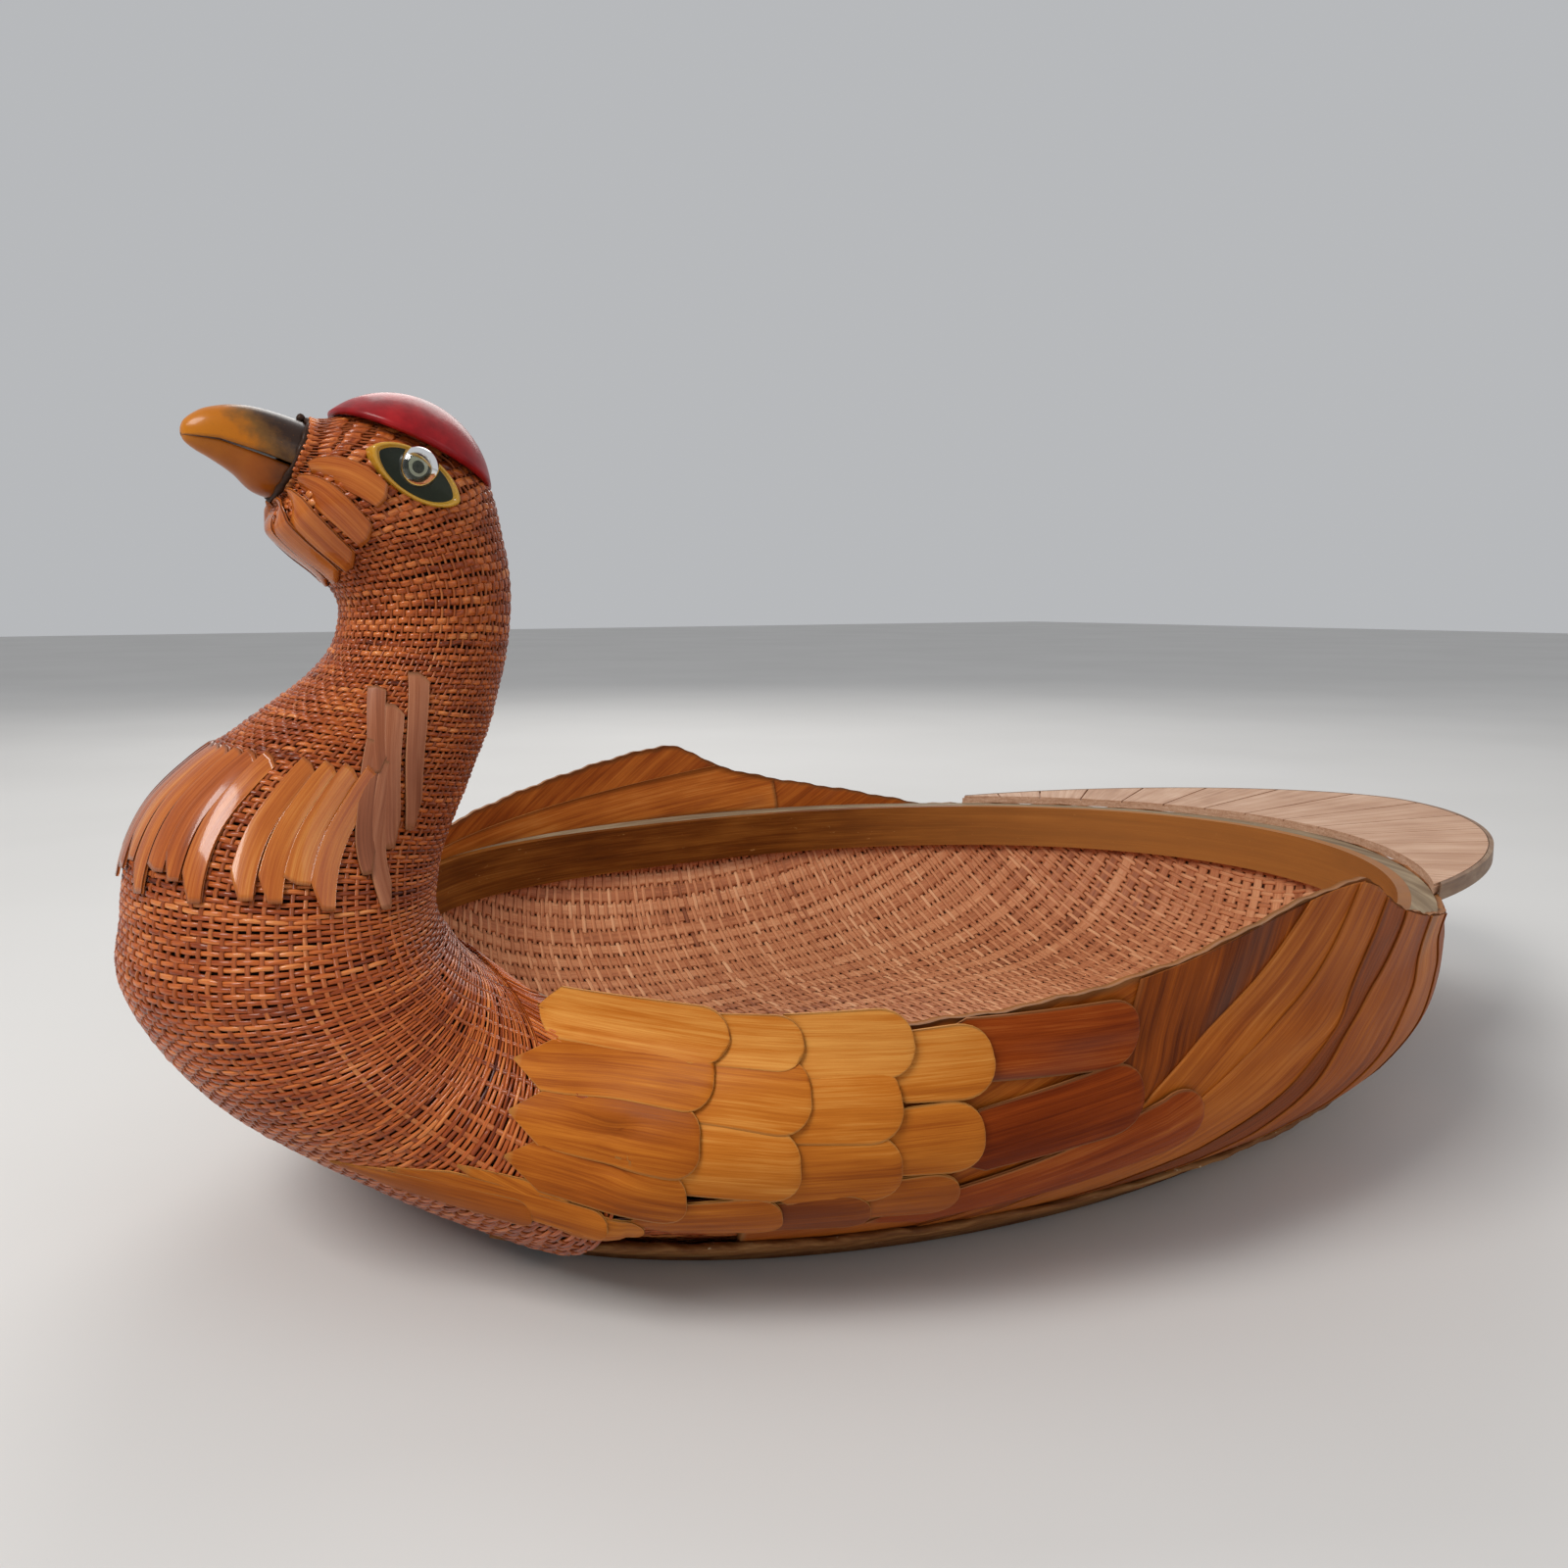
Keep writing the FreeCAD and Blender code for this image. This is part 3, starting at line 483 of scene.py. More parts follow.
veneer = fibre_material(
    "brown_veneer",
    [(0.12, (0.09, 0.015, 0.001)), (0.42, (0.25, 0.052, 0.004)), (0.64, (0.40, 0.108, 0.012)),
     (0.9, (0.56, 0.21, 0.045))],
    roughness=(0.4, 0.58), bump=0.3, edge_colour=(0.25, 0.12, 0.045), stain=(0.10, 0.045, 0.032), specular=0.08)
red_veneer = fibre_material(
    "red_veneer",
    [(0.12, (0.06, 0.007, 0.0008)), (0.42, (0.145, 0.02, 0.0015)), (0.64, (0.25, 0.042, 0.004)),
     (0.9, (0.40, 0.11, 0.02))],
    roughness=(0.4, 0.56), bump=0.3, edge_colour=(0.30, 0.13, 0.045), stain=(0.12, 0.05, 0.035), specular=0.06)
amber = fibre_material(
    "amber_veneer",
    [(0.12, (0.15, 0.028, 0.002)), (0.40, (0.31, 0.075, 0.005)), (0.62, (0.45, 0.135, 0.012)),
     (0.9, (0.62, 0.27, 0.055))],
    roughness=(0.4, 0.56), edge_colour=(0.50, 0.23, 0.06), tint_weight=0.7, specular=0.10)
glossy = fibre_material(
    "glossy_slips",
    [(0.12, (0.15, 0.026, 0.003)), (0.45, (0.33, 0.07, 0.008)), (0.65, (0.46, 0.13, 0.018)),
     (0.9, (0.62, 0.26, 0.06))],
    roughness=(0.2, 0.34), coat=0.5, coat_roughness=0.08, edge_colour=(0.30, 0.08, 0.015), specular=0.12)
matt = fibre_material(
    "matt_slips", [(0.15, (0.11, 0.028, 0.011)), (0.5, (0.25, 0.078, 0.034)), (0.85, (0.40, 0.16, 0.08))],
    roughness=(0.4, 0.56), coat=0.08, bump=0.3, edge_colour=(0.34, 0.15, 0.07), specular=0.12)
# The hoop's paler rear is painted light and its darker front is painted shade.
hoop_mat = fibre_material(
    "bent_hoop",
    [(0.15, (0.045, 0.009, 0.0008)), (0.45, (0.125, 0.034, 0.003)), (0.65, (0.21, 0.07, 0.009)),
     (0.9, (0.34, 0.15, 0.035))],
    coords="rim", streak=(0.012, 0.35), fibre=(0.04, 2.0), roughness=(0.34, 0.52), coat=0.12,
    coat_roughness=0.2, bump=0.3, specks=(0.30, 0.14, 0.04), specular=0.08, painted_light_rear=(0.52, 0.22, 0.06))
rim_mat = fibre_material(
    "rim_bamboo",
    [(0.15, (0.10, 0.06, 0.032)), (0.45, (0.21, 0.145, 0.085)), (0.65, (0.32, 0.24, 0.15)),
     (0.9, (0.52, 0.44, 0.32))],
    coords="rim", streak=(0.02, 0.5), fibre=(0.05, 2.4), roughness=(0.55, 0.8), bump=0.5,
    specks=(0.60, 0.55, 0.45))
foot_mat = fibre_material(
    "foot_bamboo",
    [(0.15, (0.055, 0.018, 0.004)), (0.45, (0.17, 0.06, 0.014)), (0.65, (0.28, 0.13, 0.04)),
     (0.9, (0.48, 0.33, 0.17))],
    coords="rim", streak=(0.02, 0.5), fibre=(0.05, 2.4), roughness=(0.5, 0.75), bump=0.4,
    specks=(0.50, 0.38, 0.22))
tail_mat = fibre_material(
    "tail_veneer",
    [(0.15, (0.27, 0.125, 0.065)), (0.45, (0.46, 0.26, 0.16)), (0.65, (0.58, 0.37, 0.25)),
     (0.9, (0.72, 0.53, 0.40))],
    coords="fan", streak=(0.012, 0.5), fibre=(0.05, 2.6), roughness=(0.42, 0.6), bump=0.3, centre_x=70.0)
edging_mat = fibre_material(
    "tail_edging", [(0.15, (0.10, 0.055, 0.032)), (0.5, (0.22, 0.13, 0.08)), (0.85, (0.36, 0.26, 0.17))],
    coords="rim", streak=(0.012, 0.4), roughness=(0.45, 0.65), bump=0.35, centre_x=110.0)
wood = fibre_material(
    "carved_wood", [(0.2, (0.12, 0.045, 0.02)), (0.8, (0.32, 0.15, 0.07))], coords="object",
    roughness=(0.5, 0.7))
base_ring_mat = fibre_material(
    "beak_base_ring", [(0.2, (0.010, 0.005, 0.003)), (0.8, (0.05, 0.02, 0.01))], coords="object",
    roughness=(0.5, 0.7), coat=0.1, specular=0.1)
beak_upper_mat = paint_material(
    "beak_paint_upper",
    [(0.0, (0.46, 0.15, 0.005)), (0.44, (0.40, 0.12, 0.004)), (0.62, (0.15, 0.065, 0.014)),
     (0.80, (0.028, 0.013, 0.008))],
    (0.86, 0, 0.5), -87.0, -60.0, (0.26, 0.42), 0.22, (0.28, 0.09, 0.005))
beak_lower_mat = paint_material(
    "beak_paint_lower", [(0.0, (0.42, 0.13, 0.004)), (0.6, (0.28, 0.065, 0.002)), (0.95, (0.05, 0.014, 0.004))],
    (1, 0, 0.1), -198.0, -172.0, (0.26, 0.42), 0.22, (0.22, 0.055, 0.003))
eye_rim_mat = paint_material(
    "eye_rim_paint", [(0.0, (0.46, 0.22, 0.012)), (1.0, (0.56, 0.31, 0.03))],
    (1, 0, 0), -185, -155, (0.2, 0.35), 0.7, (0.42, 0.24, 0.04))
eye_fill_mat = paint_material(
    "eye_fill_paint", [(0.0, (0.008, 0.011, 0.006)), (1.0, (0.020, 0.025, 0.012))],
    (1, 0, 0), -185, -155, (0.3, 0.5), 0.08, (0.06, 0.055, 0.02))
iris_mat = paint_material(
    "eye_iris_paint", [(0.0, (0.20, 0.21, 0.15)), (1.0, (0.42, 0.42, 0.33))],
    (1, 0, 0), -175, -160, (0.3, 0.5), 0.05, (0.09, 0.09, 0.06), noise_scale=0.6)
cap_mat = lacquer_material(
    "crest_lacquer", [(0.25, (0.13, 0.002, 0.004)), (0.5, (0.25, 0.004, 0.007)), (0.75, (0.36, 0.01, 0.012))],
    (0.12, 0.03, 0.02))
glass = glass_material("eye_glass", [(0.3, (0.74, 0.78, 0.70)), (0.7, (0.95, 0.97, 0.92))])


# --- woven breast, neck, head and hull

WEFT_PITCH, STAKES, ROWS, STATIONS = 1.62, 88, 421, 20.8
HULL_PITCH, HULL_STAKES, HULL_ROWS, HULL_SKIN = 1.9, 120, 60, 2.0
STEPS_PER_STAKE = 3
SLIMMEST = 0.5
MOST_POINTS = 80000
GRAIN_ROUND = 400.0


def everywhere(x):
    return np.ones(np.shape(x), bool)


def beyond_the_panels(x):
    """Where the hull's weave is not hidden by the wing panels."""
    return ((x > -157) & (x < -100)) | (x > 150)


def between_rows(source, rows, columns):
    """Points of a grid at places between its rows."""
    rows = np.clip(rows, 0, len(source) - 1.001)
    low = rows.astype(int)
    share = (rows - low)[..., None]
    return source[low, columns] * (1 - share) + source[low + 1, columns] * share


def woven_rings(name, fine, pitch, stakes, replaces, visible=everywhere, skin_depth=(0.95, 1.7)):
    """Splints that ring a form and pass over and under upright stakes, on a dark skin that is painted shade in the
    gaps.

    Where the rings crowd together, only some of them go on, at a splint's full width.
    """
    thick, swing, base = 0.5, 0.30, -0.3
    rows_fine, steps = fine.shape[:2]
    normals = ring_normals(fine)
    front = np.concatenate([[0], np.cumsum(np.linalg.norm(np.diff(fine[:, 0], axis=0), axis=1))])
    count = int(front[-1] / pitch)
    ring = np.arange(count)
    middle = np.interp((ring + 0.5) / count * front[-1], front, np.arange(rows_fine))
    gap = np.gradient(middle)

    def place(rows):
        return between_rows(fine, rows, np.arange(steps)[None, :])

    share = np.arange(steps) / steps
    wander = np.zeros((count, steps))
    for wave, size in ((2, 0.10), (5, 0.09), (11, 0.07), (23, 0.05)):
        phase = rng.uniform(0, 2 * math.pi, count)[:, None]
        wander += size * np.sin(2 * math.pi * wave * share[None, :] + phase)
    rows = middle[:, None] + wander * gap[:, None]
    half = np.repeat((gap * rng.uniform(0.39, 0.46, count))[:, None], steps, axis=1)
    wide = np.linalg.norm(place(rows + half) - place(rows - half), axis=-1)
    level = np.clip(np.ceil(np.log2(SLIMMEST / np.maximum(wide, 0.02))), 0, 5).astype(int)
    goes_on = ring[:, None] % 2 ** level == 0
    half, wide = half * 2.0 ** level, wide * 2.0 ** level
    size = np.clip(wide / 1.3, 0.12, 1.0)
    turn = np.pi * (stakes * share[None, :] + ring[:, None])
    over = 1 - 2 * ((1 - np.cos(turn)) / 2) ** 3
    lift = (base + swing * over + rng.normal(0, 0.07, count)[:, None]) * size
    normal = unit(between_rows(normals, rows, np.arange(steps)[None, :]))
    grid = strip_grid(lambda a: place(rows + a), half, normal, lift, thick * size, SPLINT)
    along = np.tile(share * GRAIN_ROUND, (count, 1))
    grain, tint = strip_looks(grid.shape[:3], along, 0.7, SPLINT, 0.5, 0.11)
    tint = tint + 0.16 * np.sin(along * 0.11 + rng.uniform(0, 6, count)[:, None])[..., None]
    parts = max(1, math.ceil(count * steps * len(SPLINT) / MOST_POINTS))
    shown = visible(place(rows)[..., 0]) & goes_on
    for part, some in enumerate(np.array_split(ring, parts)):
        make_piece(f"{name}_weft_{part + 1}", grid[some], strip_faces(grid[some], True, shown[some]), lacquered,
                   () if part else replaces, grain[some], tint[some])

    # upright stakes, seen where a ring passes behind them
    columns = np.arange(stakes) * steps // stakes
    stake_rows = np.tile(middle, (stakes, 1))

    def at_stakes(source, shift=0):
        return between_rows(source, stake_rows, ((columns + shift) % steps)[:, None])

    centre, chord = at_stakes(fine), at_stakes(fine, 1) - at_stakes(fine, -1)
    room = np.linalg.norm(chord, axis=-1) / 2
    under = -np.cos(np.pi * (np.arange(stakes)[:, None] + ring[None, :]))
    size_here = size[:, columns].T
    stake_half = np.minimum(0.70, room * 0.55) * size_here ** 0.5
    grid = strip_grid(lambda a: centre + unit(chord) * a[..., None], stake_half, unit(at_stakes(normals)),
                      (base + 0.24 * under - 0.16) * size_here, 0.7 * size_here, FLAT_SPLINT)
    grain, tint = strip_looks(grid.shape[:3], np.tile(ring * pitch, (stakes, 1)), 0.6, FLAT_SPLINT, 0.5, 0.2)
    make_piece(f"{name}_stakes", grid, strip_faces(grid, keep=visible(centre[..., 0])), stake_mat,
               (), grain, tint)

    # dark skin behind the splints, near-black as painted shade in the gaps
    some = np.linspace(0, rows_fine - 1, 110).astype(int)
    coarse, inward = fine[some][:, ::2], normals[some][:, ::2]
    shell = np.stack([coarse - inward * depth for depth in skin_depth], axis=2)
    faces = shell_quads(shell, (0, -1), True)
    faces = faces[visible(shell.reshape(-1, 3)[faces][..., 0]).all(axis=1)]
    make_piece(f"{name}_skin", shell, faces, shade_backing_mat)


def shares(count):
    return np.arange(count) / count


woven_rings("neck", neck_grid(np.linspace(0, STATIONS, ROWS), shares(STAKES * STEPS_PER_STAKE)), WEFT_PITCH,
            STAKES, ("woven_breast_and_neck",))
hull_fine = level_grid(HULL, np.linspace(0.75, 5.7, HULL_ROWS), shares(HULL_STAKES * STEPS_PER_STAKE))
woven_rings("hull", hull_fine - ring_normals(hull_fine) * HULL_SKIN, HULL_PITCH, HULL_STAKES, ("woven_hull",),
            beyond_the_panels, (0.6, 1.0))


# --- woven bowl

ACROSS_PITCH, LENGTH_PITCH = 2.3, 6.0
BOWL_REACH = 262.0
BOWL_STEP = 2.0
ROUND = np.linspace(-math.pi, math.pi, 361)


def bowl_meridians():
    """Points of the bowl's inside at even steps from the middle of the floor, by direction, and their lengths."""

    def radius(row):
        _, _, front, rear, wide, bluff, taper = row
        c, s = np.cos(ROUND), np.sin(ROUND)
        reach, square = np.where(c > 0, rear, front), np.where(c > 0, taper, bluff)
        return (np.abs(c / reach) ** square + np.abs(s / wide) ** square) ** (-1 / square)

    rows = [(BOWL[0], share) for share in (0.0, 0.42, 0.76)] + [(row, 1.0) for row in BOWL]
    table = np.array([[row[0], *(radius(row) * share)] for row, share in rows])
    dense = smooth_table(table, np.linspace(0, len(table) - 1, 400))
    z, r = dense[:, :1], dense[:, 1:]
    points = np.stack([r * np.cos(ROUND), r * np.sin(ROUND), np.repeat(z, len(ROUND), axis=1)], axis=2)
    length = np.concatenate([np.zeros((1, len(ROUND))),
                             np.cumsum(np.linalg.norm(np.diff(points, axis=0), axis=2), axis=0)])
    reach = np.arange(0, BOWL_REACH, BOWL_STEP)
    even = np.zeros((len(reach), len(ROUND), 3))
    for k in range(len(ROUND)):
        for axis in range(3):
            even[:, k, axis] = np.interp(reach, length[:, k], points[:, k, axis])
    return even, length[-1]


bowl_even, bowl_length = bowl_meridians()


def bowl_at(a, b):
    """Points of the bowl's inside for places on the flat plait, and whether they are below the rim."""
    turn = np.arctan2(b, a)
    out = np.hypot(a, b)
    column = np.clip((turn + math.pi) / (2 * math.pi) * (len(ROUND) - 1), 0, len(ROUND) - 1.001)
    row = np.clip(out / BOWL_STEP, 0, len(bowl_even) - 1.001)
    i, j = row.astype(int), column.astype(int)
    fi, fj = (row - i)[..., None], (column - j)[..., None]
    low = bowl_even[i, j] * (1 - fj) + bowl_even[i, j + 1] * fj
    high = bowl_even[i + 1, j] * (1 - fj) + bowl_even[i + 1, j + 1] * fj
    inside = out < np.interp(turn, ROUND, bowl_length) - 3.5
    return low * (1 - fi) + high * fi, inside


def plait(name, along_x, offsets, half, step, other_pitch, thick, swing, base, tint, painted_dip_shading, replaces=()):
    """Splints of one direction of the bowl's plait; the last argument darkens those of one direction where they dip,
    as painted shade, and lightens them where they ride over, as painted light.
    """
    count = len(offsets)
    t = np.arange(-BOWL_REACH, BOWL_REACH, step)
    wander = np.zeros((count, len(t)))
    for wave in (0.011, 0.027, 0.061):
        wander += rng.uniform(0.05, 0.16) * np.sin(2 * math.pi * wave * t + rng.uniform(0, 6.3, count)[:, None])
    side = offsets[:, None] + wander
    along = np.tile(t, (count, 1))

    def place(shift):
        return bowl_at(along, side + shift) if along_x else bowl_at(side + shift, along)

    middle, inside = place(0.0)
    ahead = np.gradient(middle, axis=1)
    sideways = place(0.8)[0] - place(-0.8)[0]
    normal = unit(np.cross(ahead, sideways) if along_x else np.cross(sideways, ahead))
    over = np.cos(math.pi * (t / other_pitch + np.arange(count)[:, None]))
    over = np.sign(over) * np.abs(over) ** 0.6 * (-1 if along_x else 1)
    lift = base + swing * over + rng.normal(0, 0.06, count)[:, None]
    widths = (half * rng.uniform(0.80, 1.0, count))[:, None]
    grid = strip_grid(lambda a: place(a)[0], widths, normal, lift, thick, THIN_SPLINT)
    grain, tints = strip_looks(grid.shape[:3], along, half, THIN_SPLINT, tint, 0.2)
    make_piece(name, grid, strip_faces(grid, keep=inside), plain_weave, replaces, grain,
               # the tint carries painted shade where a splint dips under its neighbour and painted light where it
               # rides over
               tints + painted_dip_shading * over[..., None])


across_offsets = np.arange(-236, 256, ACROSS_PITCH)
across_offsets = across_offsets + rng.normal(0, 0.22, len(across_offsets))
for number, some in enumerate(np.array_split(across_offsets, 4)):
    plait(f"bowl_across_{number + 1}", False, some, ACROSS_PITCH * 0.49, 1.5, LENGTH_PITCH, 0.4, 0.30, 0.1,
          0.56, 0.16, () if number else ("woven_bowl",))
plait("bowl_lengthwise", True, np.arange(-210, 211, LENGTH_PITCH), LENGTH_PITCH * 0.50, ACROSS_PITCH,
      ACROSS_PITCH, 0.35, 0.10, 0.12, 0.48, 0.0)


def bowl_skin():
    """The dark skin under the plait, near-black as painted shade in its gaps."""
    angles = ROUND[:-1:3]
    out = np.linspace(0, 1, 90)[:, None] * (np.interp(angles, ROUND, bowl_length) - 2.5)
    shell = bowl_at(np.cos(angles) * out, np.sin(angles) * out)[0]
    normal = ring_normals(shell)
    normal[0] = (0, 0, -1)
    shell = np.stack([shell + normal * 0.3, shell + normal * 1.1], axis=2)
    make_piece("bowl_skin", shell, shell_quads(shell, (-1,), False), shade_backing_mat)


bowl_skin()


# --- splints that turn down into the bowl

def fold_splints():
    """Short splints that run from the back of the neck, over the fold and down inside the bowl."""
    x_low, z_low, low_deep, low_wide, _, low_square = NECK[0]
    x, z, deep, wide, dip, square = smooth_table(NECK, [0.9])[0]
    _, _, front, _, bowl_wide, bluff, _ = BOWL[-1]
    tilt = math.radians(dip)
    paths = []
    for y in np.arange(-96.0, 96.5, 1.9):
        share = min(0.999, abs(y) / low_wide)
        top = z_low + low_deep * (1 - share ** low_square) ** (1 / low_square)
        back = deep * (1 - share ** square) ** (1 / square)
        outer = (x + back * math.cos(tilt) + 0.2, y * wide / low_wide, z + back * math.sin(tilt) + 0.7)
        wall = -front * (1 - (abs(y) / bowl_wide) ** bluff) ** (1 / bluff)
        level = min(top, 68.5)
        paths.append([outer, (x_low + 0.1, y, top + 0.7), (wall - 0.6, y, level + 0.8),
                      (wall + 0.9, y, level - 4.0), (wall + 0.8, y, 55.0)])
    steps = np.linspace(0, 4, 25)
    line = np.array([smooth_table(path, steps) for path in paths])
    side = unit(np.gradient(line, axis=0))
    normal = unit(np.cross(unit(np.gradient(line, axis=1)), side))
    if normal[len(paths) // 2, len(steps) // 2, 2] < 0:
        normal = -normal
    half = np.repeat(rng.uniform(0.78, 0.98, len(paths))[:, None], len(steps), axis=1)
    lift = rng.normal(0, 0.12, len(paths))[:, None]
    grid = strip_grid(lambda a: line + side * a[..., None], half, normal, lift, 0.55, SPLINT)
    grain, tint = strip_looks(grid.shape[:3], np.tile(steps * 6.0, (len(paths), 1)), 0.9, SPLINT, 0.5, 0.16)
    make_piece("fold_splints", grid, strip_faces(grid), lacquered, (), grain, tint)


fold_splints()


# --- foot band

def foot_ring():
    """The bent band the basket stands on; its front ends tuck in behind the breast."""
    outline = level_grid(HULL, [0.0, 1.42], shares(520))
    inside = outline[0, :, 0] > -146
    low, high = outline[:, inside]
    tangent = unit(np.gradient(high, axis=0))
    out = np.cross(tangent, (0, 0, 1)) * (1, 1, 0)
    if (out * (high - high.mean(axis=0))).sum() < 0:
        out = -out
    run = np.concatenate([[0], np.cumsum(np.linalg.norm(np.diff(high, axis=0), axis=1))])
    wobble = (0.25 * np.sin(run * 0.21) + 0.18 * np.sin(run * 0.57 + 1))[:, None]
    # line, distance out of it and height over it, round the band's cross-section
    section = [(low, 2.4, 0.1), (low, 2.9, 1.2), (high, 1.9, wobble - 1.0), (high, 1.3, wobble),
               (high, -0.4, wobble), (low, -0.4, 0.1)]
    rings = np.stack([line + out * far + np.array([0, 0, 1.0]) * rise for line, far, rise in section], axis=1)
    rings[0], rings[-1] = rings[0].mean(axis=0), rings[-1].mean(axis=0)
    ring_piece("foot_ring", rings, foot_mat, ("foot_band",))


foot_ring()


# --- surfaces to lay sheets on

HULL_STARTS = -157.5


def skin_tree():
    """The breast and the hull as one surface that sheets are laid on."""
    breast = neck_grid(np.linspace(0, 6, 60), shares(240))
    hull = level_grid(HULL, np.linspace(0, 8, 80), shares(360))
    breast_quads, hull_quads = (ring_quads(np.arange(grid[..., 0].size).reshape(grid.shape[:2]))
                                for grid in (breast, hull))
    breast, hull = breast.reshape(-1, 3), hull.reshape(-1, 3)
    hull_quads = hull_quads[hull[hull_quads].mean(axis=1)[:, 0] > HULL_STARTS] + len(breast)
    return BVHTree.FromPolygons(np.concatenate([breast, hull]).tolist(),
                                np.concatenate([breast_quads, hull_quads]).tolist())


skin = skin_tree()
SHEET_STOCK = 0.55
RAY_START, RAY_LENGTH = 60, 150
ACROSS = np.array([0, 0.035, 0.2, 0.35, 0.5, 0.65, 0.8, 0.965, 1])
WELD_DISTANCE = 0.00001


def laid_sheet(low_edge, top_edge, outward, lift, crown):
    """A thin sheet between two edge lines, dropped on to the skin and lifted off it a little."""
    share = ACROSS[None, :, None]
    flat = low_edge[:, None] * (1 - share) + top_edge[:, None] * share
    fall = np.zeros(flat.shape[:2])
    for place in np.ndindex(fall.shape):
        hit = skin.ray_cast(Vector(flat[place] + outward * RAY_START), Vector(-outward), RAY_LENGTH)
        fall[place] = RAY_START if hit[0] is None else hit[3]
    for _ in range(3):
        fall[1:-1] = (fall[:-2] + 2 * fall[1:-1] + fall[2:]) / 4
    top = flat + outward * (RAY_START - fall)[..., None]
    width = np.linalg.norm(top_edge - low_edge, axis=1)
    normal = unit(np.cross(np.gradient(top, axis=0), np.gradient(top, axis=1)))
    sign = np.sign((normal * outward).sum(axis=-1, keepdims=True))
    normal = normal * np.where(sign == 0, 1, sign)
    weak = np.abs(normal).sum(axis=-1, keepdims=True) < 0.5
    normal = np.where(weak, normal[len(low_edge) // 2, len(ACROSS) // 2], normal)
    normal[:2] = normal[2]
    normal[-4:] = normal[-5]
    high = crown * (1 - (2 * ACROSS - 1) ** 2) * np.clip(width / 12, 0, 1)[:, None]
    lifted = top + normal * (lift + high)[..., None]
    return lifted, lifted - normal * SHEET_STOCK


def sheet_piece(name, sheets, material, replaces=(), edge_weight=0.7):
    """One piece from several laid sheets, each with a top, an underside and thin edges."""
    points, faces, grains, tints, edges = [], [], [], [], []
    start = 0
    for top, low, grain_xy, tint in sheets:
        n, m = top.shape[:2]
        ids = start + np.arange(2 * n * m).reshape(2, n, m)
        up, down = ids
        faces.append(np.stack([up[:-1, :-1], up[1:, :-1], up[1:, 1:], up[:-1, 1:]], axis=-1).reshape(-1, 4))
        faces.append(np.stack([down[:-1, :-1], down[:-1, 1:], down[1:, 1:], down[1:, :-1]], axis=-1).reshape(-1, 4))
        for a, b in ((up[:, 0], down[:, 0]), (up[:, -1], down[:, -1]), (up[0], down[0]), (up[-1], down[-1])):
            faces.append(np.stack([a[:-1], b[:-1], b[1:], a[1:]], axis=-1))
        points.append(np.stack([top, low]).reshape(-1, 3))
        grain = np.zeros((2, n, m, 3))
        grain[..., :2] = grain_xy
        grain[..., 2] = rng.uniform(0, GRAIN_SEEDS)
        grains.append(grain.reshape(-1, 3))
        tints.append(np.full(2 * n * m, tint))
        border = np.ones((2, n, m))
        border[:, 1:-1, 1:-1] = 0
        edges.append(border.ravel() * edge_weight)
        start += 2 * n * m
    made = make_piece(name, np.concatenate(points), np.concatenate(faces), material, replaces,
                      np.concatenate(grains), np.concatenate(tints), np.concatenate(edges))
    made.modifiers.new("weld", "WELD").merge_threshold = WELD_DISTANCE


def feather_sheet(tip, end, width, side, lift_tip, lift_end, tint, nose=9.0, crown=0.4):
    """A spear-pointed feather from its tip to a rounded end, laid on the skin."""
    tip, end = np.array(tip, float), np.array(end, float)
    tip[1] *= -side
    end[1] *= -side
    outward = np.array(skin.find_nearest(Vector((tip + end) / 2))[1])
    if outward[1] * side < 0:
        outward = -outward
    along = end - tip
    length = np.linalg.norm(along)
    along /= length
    outward = outward - along * np.dot(outward, along)
    outward /= np.linalg.norm(outward)
    cross = np.cross(outward, along)
    if cross[2] < 0:
        cross = -cross
    radius = width * 0.5
    u = np.concatenate([np.linspace(0, nose, 5)[:-1], np.linspace(nose, length - radius, 12)[:-1],
                        length - radius + radius * np.sin(np.linspace(0, math.pi / 2, 9))])
    round_part = np.clip((u - (length - radius)) / radius, 0, 1)
    half = radius * np.where(u < nose, 0.03 + 0.97 * u / nose, (1 - round_part ** 2.4 * 0.985) ** (1 / 2.2))
    half = half * (0.86 + 0.14 * np.clip((u - nose) / (length - nose), 0, 1))
    lift = lift_tip + (lift_end - lift_tip) * (u / length) ** 1.3
    line, reach = tip + along * u[:, None], cross * half[:, None]
    top, low = laid_sheet(line - reach, line + reach, outward, lift[:, None], crown)
    v = 2 * ACROSS - 1
    grain = np.stack(np.broadcast_arrays(u[:, None], half[:, None] * v), axis=-1)
    return top, low, grain, tint


def on_hull(x, z):
    return (x, -float(hull_points(x, z, 1)[1]), z)


# feathers by column, front column first: tip and end as places on the skin, width
COLUMNS = [
    [((-157, -62, 70), (-133.5, -110, 71.5), 15), ((-167, -71, 61), (-137, -110, 61.5), 15),
     ((-171, -77, 52.5), (-142, -112, 50.5), 15), ((-174, -80, 44), (-145, -110, 39), 14)],
    [((-146, -97, 70.5), (-121.5, -121, 71.5), 14), ((-147, -98, 60), (-122, -124, 60), 17),
     ((-150, -98, 48), (-125, -124, 46.5), 17), ((-150, -95, 35), (-127, -119, 33), 15)],
    [((-131, -112, 70), (-103.5, -135, 73), 17), ((-131, -114, 57), (-106, -134, 60), 18),
     ((-133, -114, 45), (-106, -134, 45.5), 18), ((-133, -108, 33), (-110, -128, 31.5), 16)],
    [((-113, -128, 66), (-88, -142, 69), 18), ((-114, -128, 50), (-90, -142, 52), 18),
     ((-116, -124, 34), (-91, -136, 36), 17)],
]
